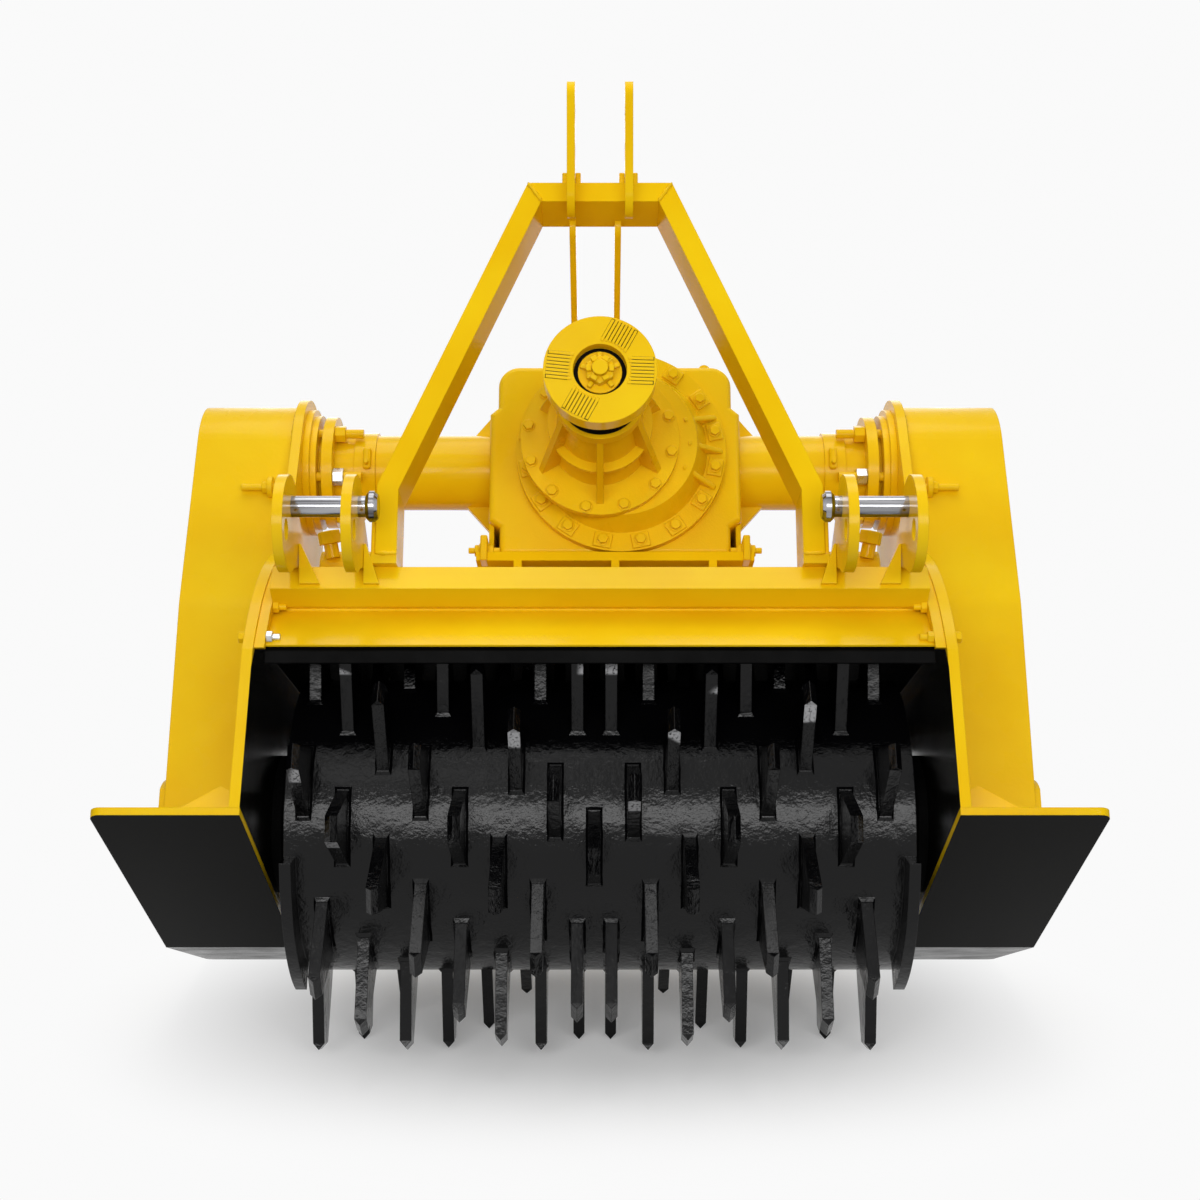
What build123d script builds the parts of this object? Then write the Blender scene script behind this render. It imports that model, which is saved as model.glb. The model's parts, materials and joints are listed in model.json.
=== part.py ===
"""Stump crusher for a three-point linkage, driven by a tractor's power take-off.

The model is made in the machine's own level frame: the rotor's axis is the X axis, -Y points to the
tractor and +Z is up. It is then pitched and moved to the pose in which the machine parks, on its lowest
teeth and on the rear ends of its skids. Lengths are in millimetres and angles in degrees.
"""
from build123d import *
from math import asin, atan2, cos, degrees, hypot, radians, sin
import os

# Rotor: a drum with welded plate teeth, set in chevrons
drum_radius = 270
drum_side_room = 47
drum_wall = 28
drum_end_recess = 14
tip_radius = 414
tooth_thickness = 21
tooth_foot = 130
tooth_tip = 44
tooth_edge = 12
tooth_sink = 9
row_pitch = 68
row_inset = 30
rows_per_turn = 21
starts = 7
rotor_offset = -10
scraper_thickness = 20
scraper_height = 46
scraper_from_angle = -78
scraper_to_angle = -20
stub_radius = 60
bearing_radius = 128
bearing_depth = 34
running_clearance = 0.05

# Side plates, which carry the rotor's bearings and the drive cases
plate_thickness = 19
plate_front = 420
plate_lip_y = 378
plate_lip_z = 250
plate_arc_margin = 25
plate_arc_y = 53
plate_arc_z = 62
plate_neck_radius = 262
plate_neck_y = 128
plate_neck_z = 330
plate_rear = 520
plate_rear_top = 468
plate_rear_z = 205
plate_top_margin = 15

# Output axis of the transmission, whose height is also that of the input shaft
output_y = 155
output_rise = 211

# Drive cases
case_depth = 192
case_wall = 8
case_top_radius = 135
case_mid_radius = 150
case_mid_y = 100
case_mid_z = 400
case_low_radius = 150
case_low_y = 80
case_cap_radius = 82
case_cap_depth = 12

# Skids
skid_reach = 232
skid_thickness = 13
skid_front_z = 42
skid_slope = 16.2
skid_bend_y = 184
skid_end_y = 573
skid_corner = 18
gusset_thickness = 10
gusset_y = 318
gusset_height = 82
gusset_shoulder = 36
gusset_length = 180

# Hood
hood_tip_room = 21
hood_thickness = 10
hood_lip_angle = 36
hood_rear_angle = 152
flange_thickness = 18
flange_margin = 4
flange_bottom_z = 254
strip_depth = 26

# Beam along the hood's front
beam_face = 50
beam_tilt = 25
beam_reach = 59.4
beam_angle = 46.5
beam_depth = 142

# Lower linkage brackets
link_span = 965
link_width = 115
link_plate = 18
link_side_room = 48
link_pin_radius = 18.3
link_pin_y = 430
link_pin_z = 490
link_pin_out = 14
link_pin_in = 34
link_head_radius = 27
link_head_depth = 21
link_head_bevel = 6
link_nose_radius = 84
link_nose_y = 438
link_nose_z = 457
spare_hole_radius = 19.3
spare_hole_y = 477
spare_hole_z = 434

# Mast
mast_front = 350
mast_depth = 104
mast_bar = 38
mast_top_z = 1147
mast_top_half = 134
mast_foot_room = 12
mast_knee_z = 556
mast_base_thickness = 18
mast_base_margin = 8

# Top link plates and the struts behind them
top_gap = 92
top_plate = 15
top_nose_y = 352
top_nose_z = 1118
top_nose_radius = 40
top_end_y = 408
top_end_z = 1286
top_end_radius = 32
top_hole_radius = 16.1
top_hole_shares = (0.87, 0.47)
strut_span = 86
strut_offset = -9
strut_thickness = 12
strut_width = 52
strut_lug_rise = 47
strut_lug_thickness = 14
strut_lug_radius = 34

# Gearbox
gearbox_height = 400
gearbox_shoulder = 16
gearbox_shoulder_drop = 102
gearbox_waist = 22
gearbox_waist_rise = 72
gearbox_taper = 14
gearbox_depth = 240
gearbox_front_y = 35
gearbox_corner = 42
gearbox_edge = 12
cradle_height = 93
cradle_thickness = 18
cradle_margin = 22
cradle_web = 16
cradle_web_inset = 60
cradle_reach = 30
cheek_thickness = 10
cheek_inset = 24
cover_offset = 42
cover_radius = 210
cover_thickness = 22
dome_radius = 172
dome_front_radius = 150
dome_height = 50
pinion_radius = 156
pinion_thickness = 18
snout_radius = 96
snout_front_radius = 68
snout_length = 205
snout_rib_count = 6
snout_rib_thickness = 13
snout_rib_foot = 134
collar_radius = 84
collar_length = 26
neck_radius = 58
neck_length = 50
input_shaft_radius = 38
input_shaft_seat = 30
seal_gap = 5
flange_radius = 101
flange_face_depth = 36
flange_hole_radius = 48
flange_hole_depth = 20
flange_hub_radius = 50
flange_hub_length = 40
nut_radius = 26
nut_height = 22
spigot_radius = 15
spigot_length = 34
washer_radius = 32
washer_thickness = 6

# Output tubes and their flanges
tube_right_length = 280
tube_left_length = 340
tube_radius = 77
tube_sleeve_thickness = 5
tube_sleeve_length = 43
tube_sleeve_from = 40
tube_flange_radius = 115
tube_flange_thickness = 22
tube_rib_thickness = 16
tube_rib_top = 46
tube_rib_top_reach = 42
tube_rib_low = 58
tube_rib_low_reach = 56
ring_radius = 130
ring_thickness = 13
ring_step_radius = 118
ring_step_thickness = 12
coupling_radius = 84
coupling_gap = 10

# Rear beam, door and hinge
rear_beam_width = 70
rear_beam_height = 66
rear_beam_y = 396
rear_beam_z = 226
hinge_y = 496
hinge_z = 214
hinge_pin_radius = 12
hinge_barrel_radius = 21
hinge_lug_thickness = 14
hinge_lug_gap = 130
hinge_spread = 700
hinge_side_gap = 1
hinge_swing_room = 5
door_strap_length = 52
door_side_room = 32
door_height = 318
door_thickness = 10
door_lean = 4
door_rib_thickness = 10
door_rib_depth = 44
door_lip = 46

# Cutting shapes: how far they run past what they cut, and how far a wedge of angles reaches
overrun = 20
cutter_reach = 1400

# Places that follow from the sizes above
tube_sleeve_radius = tube_radius + tube_sleeve_thickness
link_outer = link_span / 2 + link_width / 2 + link_plate / 2
link_inner = link_span / 2 - link_width / 2 - link_plate / 2
hood_radius = tip_radius + hood_tip_room
hood_outer = hood_radius + hood_thickness
plate_arc_radius = hood_outer + plate_arc_margin
gearbox_bottom_z = hood_outer + cradle_height
gearbox_top_z = gearbox_bottom_z + gearbox_height
output_z = gearbox_bottom_z + output_rise
beam_nose_y = (hood_outer + beam_reach) * cos(radians(beam_angle))
beam_nose_z = (hood_outer + beam_reach) * sin(radians(beam_angle))
beam_back_y = beam_nose_y - beam_depth
beam_top_y = beam_nose_y - beam_face * sin(radians(beam_tilt))
beam_top_z = beam_nose_z + beam_face * cos(radians(beam_tilt))
plate_inner = link_outer + link_side_room
plate_outer = plate_inner + plate_thickness
case_outer = plate_outer + case_depth
skid_outer = plate_outer + skid_reach
door_half = plate_inner - door_side_room
mast_foot_half = link_inner - mast_foot_room - mast_base_margin
flange_inner = plate_inner - flange_thickness
skid_fall = sin(radians(skid_slope)) / cos(radians(skid_slope))
skid_low_z = -(skid_front_z + (plate_front + skid_bend_y) * skid_fall)
drum_end = plate_inner - drum_side_room
drum_length = drum_end * 2
tube_end = plate_inner - ring_thickness - ring_step_thickness - coupling_gap
gearbox_left = tube_left_length - tube_end
gearbox_right = tube_end - tube_right_length
gearbox_width = gearbox_right - gearbox_left
gearbox_offset = (gearbox_right + gearbox_left) / 2
strut_end_z = gearbox_top_z + strut_lug_rise
cover_front_y = gearbox_front_y - cover_thickness
dome_front_y = cover_front_y - dome_height
pinion_front_y = dome_front_y - pinion_thickness
snout_front_y = pinion_front_y - snout_length
collar_front_y = snout_front_y - collar_length
neck_front_y = collar_front_y - neck_length
hub_back_y = neck_front_y - seal_gap
flange_back_y = hub_back_y - flange_hub_length
flange_front_y = flange_back_y - flange_face_depth
park_pitch = degrees(asin(tip_radius / hypot(skid_end_y, skid_low_z)) - atan2(-skid_low_z, skid_end_y))

row_angle = 360 / rows_per_turn
start_angle = 360 / starts
# A row of the starts that straddle the middle points straight down when the machine is parked
rest_row_angle = -90 - park_pitch
# Each start: whether its first teeth stand either side of the middle (1) or one in the middle (0)
start_straddles = (0, 1, 1, 0, 1, 0, 1)
# The row of teeth, counted from the first, that points down at rest
rows_above_floor = 6


def polygon(points):
    """A flat face with straight sides, through (u, v) points."""
    return make_face(Polyline(*points, close=True))


def disc(radius, u, v):
    """A round face about (u, v)."""
    return Pos(u, v) * Circle(radius)


def hull(*faces):
    """The face that a band stretched round the given faces would enclose."""
    return make_hull(Sketch(children=[*faces]).edges())


def across(face, x_from, x_to):
    """A face drawn in (y, z), made solid between two places across the machine."""
    return extrude(Plane.YZ.offset(x_from) * face, amount=x_to - x_from)


def along(face, y_from, y_to):
    """A face drawn in (x, z), made solid between two places from front to rear."""
    front = Plane(origin=(0, y_from, 0), x_dir=(1, 0, 0), z_dir=(0, -1, 0))
    return extrude(front * face, amount=y_from - y_to)


def turned(profile, x, y, z, direction):
    """A solid of revolution: (radius, distance) corners turned about a line from (x, y, z)."""
    plane = Plane(origin=(x, y, z), z_dir=direction)
    outline = Plane.XZ * make_face(Polyline(*profile, close=True))
    return plane * revolve(outline, axis=Axis.Z)


def both_sides(solid):
    """The right and the left copy of a piece that is drawn on the right."""
    return {"right": solid, "left": mirror(solid, about=Plane.YZ)}


def inner_line(points, width):
    """The line that runs inside a line of points, at a bar's width, with mitred corners."""
    directions = [(b - a).normalized() for a, b in zip(points, points[1:])]
    normals = [Vector(d.Y, -d.X) for d in directions]
    normals = [normals[0], *normals, normals[-1]]
    inner = []
    for point, before, after in zip(points, normals, normals[1:]):
        inner.append(point + (before + after) * (width / (1 + before.dot(after))))
    return inner


def make_tooth():
    """One tooth, pointing along +Z from the rotor's axis, with a sharpened edge at its tip."""
    foot_radius = drum_radius - tooth_sink
    edge_radius = tip_radius - tooth_edge
    side = polygon([
        (-tooth_foot / 2, foot_radius), (tooth_foot / 2, foot_radius),
        (tooth_tip / 2, edge_radius), (tooth_tip / 2, tip_radius),
        (-tooth_tip / 2, tip_radius), (-tooth_tip / 2, edge_radius),
    ])
    blank = across(side, -tooth_thickness / 2, tooth_thickness / 2)
    front = polygon([
        (-tooth_thickness / 2, 0), (tooth_thickness / 2, 0),
        (tooth_thickness / 2, edge_radius), (0, tip_radius), (-tooth_thickness / 2, edge_radius),
    ])
    return blank & along(front, -tooth_foot, tooth_foot)


def tooth_places():
    """Where each tooth stands: its place across the rotor and its angle above the forward horizontal."""
    places = []
    reach = drum_end - tooth_thickness
    for start, straddles in enumerate(start_straddles):
        inset = row_inset * straddles
        count = int((reach - inset) // row_pitch) + 1
        for row in range(count):
            offset = inset + row * row_pitch
            rise = offset / row_pitch * row_angle
            angle = rest_row_angle + rows_above_floor * row_angle - start * start_angle + rise
            angle -= row_inset / row_pitch * row_angle
            for side in (1, -1) if offset else (1,):
                places.append((side * offset + rotor_offset, angle))
    return places


def make_rotor():
    """The drum, its end scrapers and all its teeth, as one welded piece."""
    drum = turned([
        (0, 0), (drum_radius, 0), (drum_radius, drum_length), (0, drum_length),
    ], -drum_end, 0, 0, (1, 0, 0))
    hollow = turned([
        (0, 0), (drum_radius - drum_wall, 0),
        (drum_radius - drum_wall, drum_length - (drum_end_recess + drum_wall) * 2),
        (0, drum_length - (drum_end_recess + drum_wall) * 2),
    ], -drum_end + drum_end_recess + drum_wall, 0, 0, (1, 0, 0))
    recess = turned([
        (0, 0), (drum_radius - drum_wall, 0), (drum_radius - drum_wall, drum_end_recess),
        (0, drum_end_recess),
    ], drum_end - drum_end_recess, 0, 0, (1, 0, 0))
    tooth = make_tooth()
    teeth = [Pos(x, 0, 0) * Rot(90 - angle, 0, 0) * tooth for x, angle in tooth_places()]
    scraper_outer = drum_radius + scraper_height
    ring = turned([
        (drum_radius - tooth_sink, 0), (scraper_outer, 0),
        (scraper_outer, scraper_thickness), (drum_radius - tooth_sink, scraper_thickness),
    ], drum_end - scraper_thickness, 0, 0, (1, 0, 0))
    corners = [(0, 0)]
    for angle in (scraper_from_angle, (scraper_from_angle + scraper_to_angle) / 2, scraper_to_angle):
        corners.append((-cutter_reach * cos(radians(angle)), cutter_reach * sin(radians(angle))))
    scraper = ring & across(polygon(corners), 0, drum_length)
    welded = drum + [*teeth, scraper, mirror(scraper, about=Plane.YZ)]
    return welded - [hollow, recess, mirror(recess, about=Plane.YZ)]


def make_stub():
    """The right shaft stub, from the drum's end disc into the bearing."""
    start = drum_end - drum_end_recess
    length = plate_outer - start
    return turned([(0, 0), (stub_radius, 0), (stub_radius, length), (0, length)], start, 0, 0, (1, 0, 0))


def make_bearing():
    """The right bearing housing, on the side plate's inner face."""
    bore = stub_radius + running_clearance
    return turned([
        (bore, 0), (bearing_radius, 0), (bearing_radius, bearing_depth / 2),
        (bearing_radius - bearing_depth / 2, bearing_depth), (bore, bearing_depth),
    ], plate_inner, 0, 0, (-1, 0, 0))


def plate_outline():
    """The side plate seen from the side, with its round top and its curved front."""
    top = disc(case_top_radius + plate_top_margin, output_y, output_z)
    neck = disc(plate_neck_radius, plate_neck_y, plate_neck_z)
    rear_low_z = skid_low_z + skid_thickness
    body = polygon([
        (-plate_front, -skid_front_z + skid_thickness), (-plate_lip_y, plate_lip_z),
        (plate_rear_top, plate_lip_z), (plate_rear, plate_rear_z - plate_lip_z),
        (plate_rear, rear_low_z), (skid_bend_y, rear_low_z),
    ])
    arc = disc(plate_arc_radius, plate_arc_y, plate_arc_z)
    above = polygon([
        (-plate_front, plate_lip_z), (plate_rear_top, plate_lip_z),
        (plate_rear_top, output_z), (-plate_front, output_z),
    ])
    return body + (arc & above) + hull(top, neck)


def make_side_plate():
    """The right side plate, with holes for the rotor's shaft and for the output coupling."""
    plate = across(plate_outline(), plate_inner, plate_outer)
    shaft_hole = across(disc(stub_radius + seal_gap, 0, 0), 0, plate_outer + overrun)
    coupling_hole = across(disc(coupling_radius, output_y, output_z), 0, plate_outer + overrun)
    return plate - [shaft_hole, coupling_hole]


def case_outline(inset):
    """The drive case seen from the side, drawn in by an inset."""
    return hull(
        disc(case_top_radius - inset, output_y, output_z),
        disc(case_mid_radius - inset, case_mid_y, case_mid_z),
        disc(case_low_radius - inset, case_low_y, 0),
    )


def make_case():
    """The right drive case: a closed pan welded to the side plate, with a bearing cap."""
    shell = across(case_outline(0), plate_outer, case_outer)
    hollow = across(case_outline(case_wall), plate_outer, case_outer - case_wall)
    cap_face = disc(case_cap_radius, 0, 0) & case_outline(case_wall)
    return shell - hollow + across(cap_face, case_outer, case_outer + case_cap_depth)


def make_skid():
    """The right skid: a plate bent once, with rounded corners."""
    rise = skid_thickness
    front = (-plate_front, -skid_front_z)
    profile = polygon([
        front, (skid_bend_y, skid_low_z), (skid_end_y, skid_low_z),
        (skid_end_y, skid_low_z + rise), (skid_bend_y, skid_low_z + rise),
        (-plate_front, -skid_front_z + rise),
    ])
    skid = across(profile, plate_inner, skid_outer)
    corners = skid.edges().filter_by(Axis.Z).filter_by(lambda edge: edge.center().X > plate_outer)
    return fillet(corners, skid_corner)


def make_skid_gusset():
    """The right gusset between the side plate and the skid's upper face."""
    base_z = -(skid_front_z - skid_thickness + (plate_front - gusset_y) * skid_fall)
    lean = gusset_thickness * skid_fall
    face = polygon([
        (plate_outer, base_z - lean), (plate_outer, base_z + gusset_height - gusset_shoulder / 2),
        (plate_outer + gusset_shoulder, base_z + gusset_height),
        (plate_outer + gusset_length, base_z), (plate_outer + gusset_length, base_z - lean),
    ])
    return along(face, -gusset_y, -gusset_y + gusset_thickness) - make_skid()


def sector(inner, outer, from_angle, to_angle):
    """A ring's sector about the rotor's axis; angles are above the forward horizontal."""
    middle = radians((from_angle + to_angle) / 2)
    corners = [(0, 0)]
    for angle in (radians(from_angle), middle, radians(to_angle)):
        corners.append((-cutter_reach * cos(angle), cutter_reach * sin(angle)))
    return (Circle(outer) - Circle(inner)) & polygon(corners)


def make_hood_shell():
    """The hood's rolled shell over the rotor."""
    face = sector(hood_radius, hood_outer, hood_lip_angle, hood_rear_angle)
    return across(face, -flange_inner, flange_inner)


def make_hood_strip():
    """The wear strip inside the hood's front lip."""
    lip = radians(hood_lip_angle)
    inner_y = -hood_radius * cos(lip)
    inner_z = hood_radius * sin(lip)
    face = polygon([
        (inner_y - hood_thickness * cos(lip), inner_z - hood_thickness * sin(lip)),
        (inner_y - hood_thickness * cos(lip), inner_z - strip_depth),
        (inner_y, inner_z - strip_depth), (inner_y, inner_z),
    ])
    return across(face - Circle(hood_radius - strip_depth), -flange_inner, flange_inner)


def make_hood_flange():
    """The right end plate of the hood, which is bolted to the side plate."""
    arc = disc(plate_arc_radius - flange_margin, plate_arc_y, plate_arc_z)
    above = polygon([
        (-plate_front, flange_bottom_z), (plate_rear_top, flange_bottom_z),
        (plate_rear_top, output_z), (-plate_front, output_z),
    ])
    return across(arc & above, flange_inner, plate_inner)


def make_beam():
    """The closed beam along the hood's front, whose edge points at the tractor."""
    tilt = radians(beam_tilt)
    low = (-beam_nose_y + beam_face * cos(tilt), beam_nose_z - beam_face * sin(tilt))
    face = polygon([
        low, (-beam_nose_y, beam_nose_z), (-beam_top_y, beam_top_z), (-beam_back_y, beam_top_z),
        (-beam_back_y, low[1]),
    ])
    return across(face - Circle(hood_outer), -flange_inner, flange_inner)


def link_outline():
    """A lower linkage plate seen from the side, with its round nose."""
    nose = disc(link_nose_radius, -link_nose_y, link_nose_z)
    heel = polygon([
        (-link_nose_y, link_nose_z + link_nose_radius), (-link_pin_y + link_nose_radius, link_pin_z),
        (-beam_back_y, beam_top_z), (-beam_top_y, beam_top_z),
        (-link_nose_y, link_nose_z - link_nose_radius),
    ])
    return nose + heel


def make_link_plates():
    """The four lower linkage plates, by their side and place."""
    plates = {}
    beam = make_beam()
    holes = [
        across(disc(link_pin_radius, -link_pin_y, link_pin_z), 0, link_span),
        across(disc(spare_hole_radius, -spare_hole_y, spare_hole_z), 0, link_span),
    ]
    for place, sign in (("outer", 1), ("inner", -1)):
        middle = link_span / 2 + sign * link_width / 2
        plate = across(link_outline(), middle - link_plate / 2, middle + link_plate / 2)
        for side, solid in both_sides(plate - [beam, *holes]).items():
            plates[f"link_plate_{place}_{side}"] = solid
    return plates


def make_link_pin():
    """The right lower linkage pin with its head on the inner side."""
    inner_end = link_inner - link_pin_in
    outer_end = link_outer + link_pin_out
    length = outer_end - inner_end
    return turned([
        (0, 0), (link_head_radius - link_head_bevel, 0), (link_head_radius, link_head_bevel),
        (link_head_radius, link_head_depth - link_head_bevel),
        (link_head_radius - link_head_bevel, link_head_depth), (link_pin_radius, link_head_depth),
        (link_pin_radius, length), (0, length),
    ], inner_end, -link_pin_y, link_pin_z, (1, 0, 0))


def mast_lines():
    """The mast's outer line from its left foot to its right foot, and the line inside its bars."""
    foot_z = beam_top_z + mast_base_thickness
    outer = [
        Vector(-mast_foot_half, foot_z), Vector(-mast_foot_half, mast_knee_z),
        Vector(-mast_top_half, mast_top_z), Vector(mast_top_half, mast_top_z),
        Vector(mast_foot_half, mast_knee_z), Vector(mast_foot_half, foot_z),
    ]
    return outer, inner_line(outer, mast_bar)


def make_mast_leg():
    """The right leg of the mast: a sloping bar with a short upright foot."""
    outer, inner = mast_lines()
    return along(polygon([*outer[3:], *reversed(inner[3:])]), -mast_front, -mast_front + mast_depth)


def make_crossbar():
    """The mast's crossbar, mitred into both legs."""
    outer, inner = mast_lines()
    return along(polygon([outer[2], outer[3], inner[3], inner[2]]), -mast_front, -mast_front + mast_depth)


def make_mast_base():
    """The right base plate between the mast's foot and the beam."""
    face = polygon([
        (mast_foot_half - mast_bar, beam_top_z), (mast_foot_half + mast_base_margin, beam_top_z),
        (mast_foot_half + mast_base_margin, beam_top_z + mast_base_thickness),
        (mast_foot_half - mast_bar, beam_top_z + mast_base_thickness),
    ])
    return along(face, -mast_front, -beam_back_y)


def make_top_plate():
    """The right top link plate, notched over the crossbar, with its pin hole."""
    nose = disc(top_nose_radius, -top_nose_y, top_nose_z)
    end = disc(top_end_radius, -top_end_y, top_end_z)
    heel = disc(top_end_radius, -mast_front + mast_depth - top_end_radius, top_nose_z + top_nose_radius)
    plate = across(hull(nose, end) + hull(nose, heel), top_gap / 2, top_gap / 2 + top_plate)
    holes = []
    for share in top_hole_shares:
        holes.append(across(disc(top_hole_radius, *top_hole(share)), 0, top_gap))
    return plate - [make_crossbar(), *holes]


def top_hole(share):
    """The place of a pin hole, in (y, z), at a share of the way from the plate's nose to its end."""
    return (
        -top_nose_y - (top_end_y - top_nose_y) * share,
        top_nose_z + (top_end_z - top_nose_z) * share,
    )


def make_strut(side):
    """A strut from the crossbar's rear down to a lug on the gearbox, right (1) or left (-1)."""
    middle = strut_offset + side * strut_span / 2
    start = disc(strut_width / 2, -mast_front + mast_depth, mast_top_z - mast_bar)
    end = disc(strut_width / 2, output_y, strut_end_z)
    strut = across(hull(start, end), middle - strut_thickness / 2, middle + strut_thickness / 2)
    return strut - make_crossbar()


def gearbox_outline():
    """The gearbox housing seen from the front: a narrow foot, a wide middle and a narrower top."""
    waist_z = gearbox_bottom_z + gearbox_waist_rise
    shoulder_z = gearbox_top_z - gearbox_shoulder_drop
    right = [
        (gearbox_right - gearbox_waist, gearbox_bottom_z),
        (gearbox_right - gearbox_waist, waist_z - gearbox_taper),
        (gearbox_right, waist_z), (gearbox_right, shoulder_z),
        (gearbox_right - gearbox_shoulder, shoulder_z + gearbox_taper),
        (gearbox_right - gearbox_shoulder, gearbox_top_z),
    ]
    left = [(gearbox_offset * 2 - x, z) for x, z in reversed(right)]
    return polygon(right + left)


def make_gearbox():
    """The gearbox housing with its stepped sides, and the lugs that carry the struts."""
    block = along(gearbox_outline(), gearbox_front_y, gearbox_front_y + gearbox_depth)
    block = fillet(block.edges().filter_by(Axis.Y).group_by(Axis.Z)[-1], gearbox_corner)
    front_face = block.faces().sort_by(Axis.Y)[0]
    block = fillet(front_face.edges(), gearbox_edge)
    lug_face = disc(strut_lug_radius, output_y, strut_end_z) + polygon([
        (output_y - strut_lug_radius, strut_end_z), (output_y + strut_lug_radius, strut_end_z),
        (output_y + strut_lug_radius, gearbox_top_z), (output_y - strut_lug_radius, gearbox_top_z),
    ])
    lugs = []
    for side in (-1, 1):
        face_x = strut_offset + side * (strut_span - strut_thickness) / 2
        lugs.append(across(lug_face, face_x, face_x - side * strut_lug_thickness))
    return block + lugs


def make_cradle():
    """The plate and webs that carry the gearbox on the hood."""
    half = gearbox_width / 2 + cradle_margin
    plate_z = gearbox_bottom_z - cradle_thickness
    plate = along(polygon([
        (gearbox_offset - half, plate_z), (gearbox_offset + half, plate_z),
        (gearbox_offset + half, gearbox_bottom_z), (gearbox_offset - half, gearbox_bottom_z),
    ]), gearbox_front_y - cradle_margin, gearbox_front_y + gearbox_depth + cradle_margin)
    web_face = polygon([
        (gearbox_front_y - cradle_margin - cradle_reach, 0), (gearbox_front_y - cradle_margin, plate_z),
        (gearbox_front_y + gearbox_depth + cradle_margin, plate_z), (0, 0),
    ]) - Circle(hood_outer)
    web_face = web_face.faces().sort_by(SortBy.AREA)[-1]
    webs = []
    for x in (gearbox_left + cradle_web_inset, gearbox_offset, gearbox_right - cradle_web_inset):
        webs.append(across(web_face, x - cradle_web / 2, x + cradle_web / 2))
    cheek_face = polygon([
        (gearbox_front_y + cheek_inset, gearbox_bottom_z),
        (gearbox_front_y + gearbox_depth - cheek_inset, gearbox_bottom_z),
        (gearbox_front_y + gearbox_depth - cheek_inset, gearbox_bottom_z + gearbox_waist_rise),
        (gearbox_front_y + cheek_inset, gearbox_bottom_z + gearbox_waist_rise),
    ])
    cheeks = []
    for x in (gearbox_left, gearbox_right - cheek_thickness):
        cheeks.append(across(cheek_face, x, x + cheek_thickness) - make_gearbox())
    return plate + [*webs, *cheeks]


def make_cover():
    """The round cover on the gearbox's front, with the dome that carries the pinion housing."""
    height = cover_thickness + dome_height
    cover = turned([
        (0, 0), (cover_radius, 0), (cover_radius, cover_thickness),
        (dome_radius, cover_thickness), (dome_front_radius, height), (0, height),
    ], cover_offset, gearbox_front_y, output_z, (0, -1, 0))
    return cover


def make_pinion_housing():
    """The pinion housing: flange, ribbed snout, collar and neck."""
    snout_end = pinion_thickness + snout_length
    collar_end = snout_end + collar_length
    neck_end = collar_end + neck_length
    body = turned([
        (0, 0), (pinion_radius, 0), (pinion_radius, pinion_thickness), (snout_radius, pinion_thickness),
        (snout_front_radius, snout_end), (collar_radius, snout_end), (collar_radius, collar_end),
        (neck_radius, collar_end), (neck_radius, neck_end), (0, neck_end),
    ], 0, dome_front_y, output_z, (0, -1, 0))
    bore_radius = input_shaft_radius + running_clearance
    bore_length = input_shaft_seat + overrun
    bore = turned([
        (0, 0), (bore_radius, 0), (bore_radius, bore_length), (0, bore_length),
    ], 0, neck_front_y + input_shaft_seat, output_z, (0, -1, 0))
    rib_face = polygon([
        (0, pinion_thickness), (snout_rib_foot, pinion_thickness),
        (collar_radius, snout_end), (0, snout_end),
    ])
    rib = extrude(Plane.XZ * rib_face, amount=snout_rib_thickness / 2, both=True)
    frame = Plane(origin=(0, dome_front_y, output_z), z_dir=(0, -1, 0))
    ribs = [frame * Rot(0, 0, 360 / snout_rib_count * turn) * rib for turn in range(snout_rib_count)]
    return body + ribs - bore


def make_input_flange():
    """The companion flange with its hub, its recess and the input shaft behind it."""
    face_start = flange_hub_length
    face_end = flange_hub_length + flange_face_depth
    shaft_end = -(seal_gap + input_shaft_seat)
    return turned([
        (0, shaft_end), (input_shaft_radius, shaft_end), (input_shaft_radius, 0),
        (flange_hub_radius, 0), (flange_hub_radius, face_start), (flange_radius, face_start),
        (flange_radius, face_end), (flange_hole_radius, face_end),
        (flange_hole_radius, face_end - flange_hole_depth), (0, face_end - flange_hole_depth),
    ], 0, hub_back_y, output_z, (0, -1, 0))


def make_input_nut():
    """The nut and washer that hold the companion flange on the input shaft's end."""
    seat_y = flange_front_y + flange_hole_depth
    frame = Plane(origin=(0, seat_y, output_z), z_dir=(0, -1, 0))
    washer = Cylinder(washer_radius, washer_thickness, align=(Align.CENTER, Align.CENTER, Align.MIN))
    nut = extrude(RegularPolygon(nut_radius, 6), amount=washer_thickness + nut_height)
    spigot = Cylinder(spigot_radius, spigot_length, align=(Align.CENTER, Align.CENTER, Align.MIN))
    return frame * (washer + nut + spigot)


def make_output_tube(length):
    """A right output tube of a given length, with its collar, its flange and the ribs at its root."""
    root_x = tube_end - length
    flange_start = length - tube_flange_thickness
    sleeve_end = flange_start - tube_sleeve_from
    sleeve_start = sleeve_end - tube_sleeve_length
    tube = turned([
        (0, 0), (tube_radius, 0), (tube_radius, sleeve_start), (tube_sleeve_radius, sleeve_start),
        (tube_sleeve_radius, sleeve_end), (tube_radius, sleeve_end), (tube_radius, flange_start),
        (tube_flange_radius, flange_start), (tube_flange_radius, length), (0, length),
    ], root_x, output_y, output_z, (1, 0, 0))
    ribs = polygon([
        (root_x, output_z + tube_radius + tube_rib_top),
        (root_x + tube_rib_top_reach, output_z + tube_radius - tube_sleeve_thickness),
        (root_x + tube_rib_low_reach, output_z - tube_radius + tube_sleeve_thickness),
        (root_x, output_z - tube_radius - tube_rib_low),
    ])
    return tube + along(ribs, output_y - tube_rib_thickness / 2, output_y + tube_rib_thickness / 2)


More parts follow.
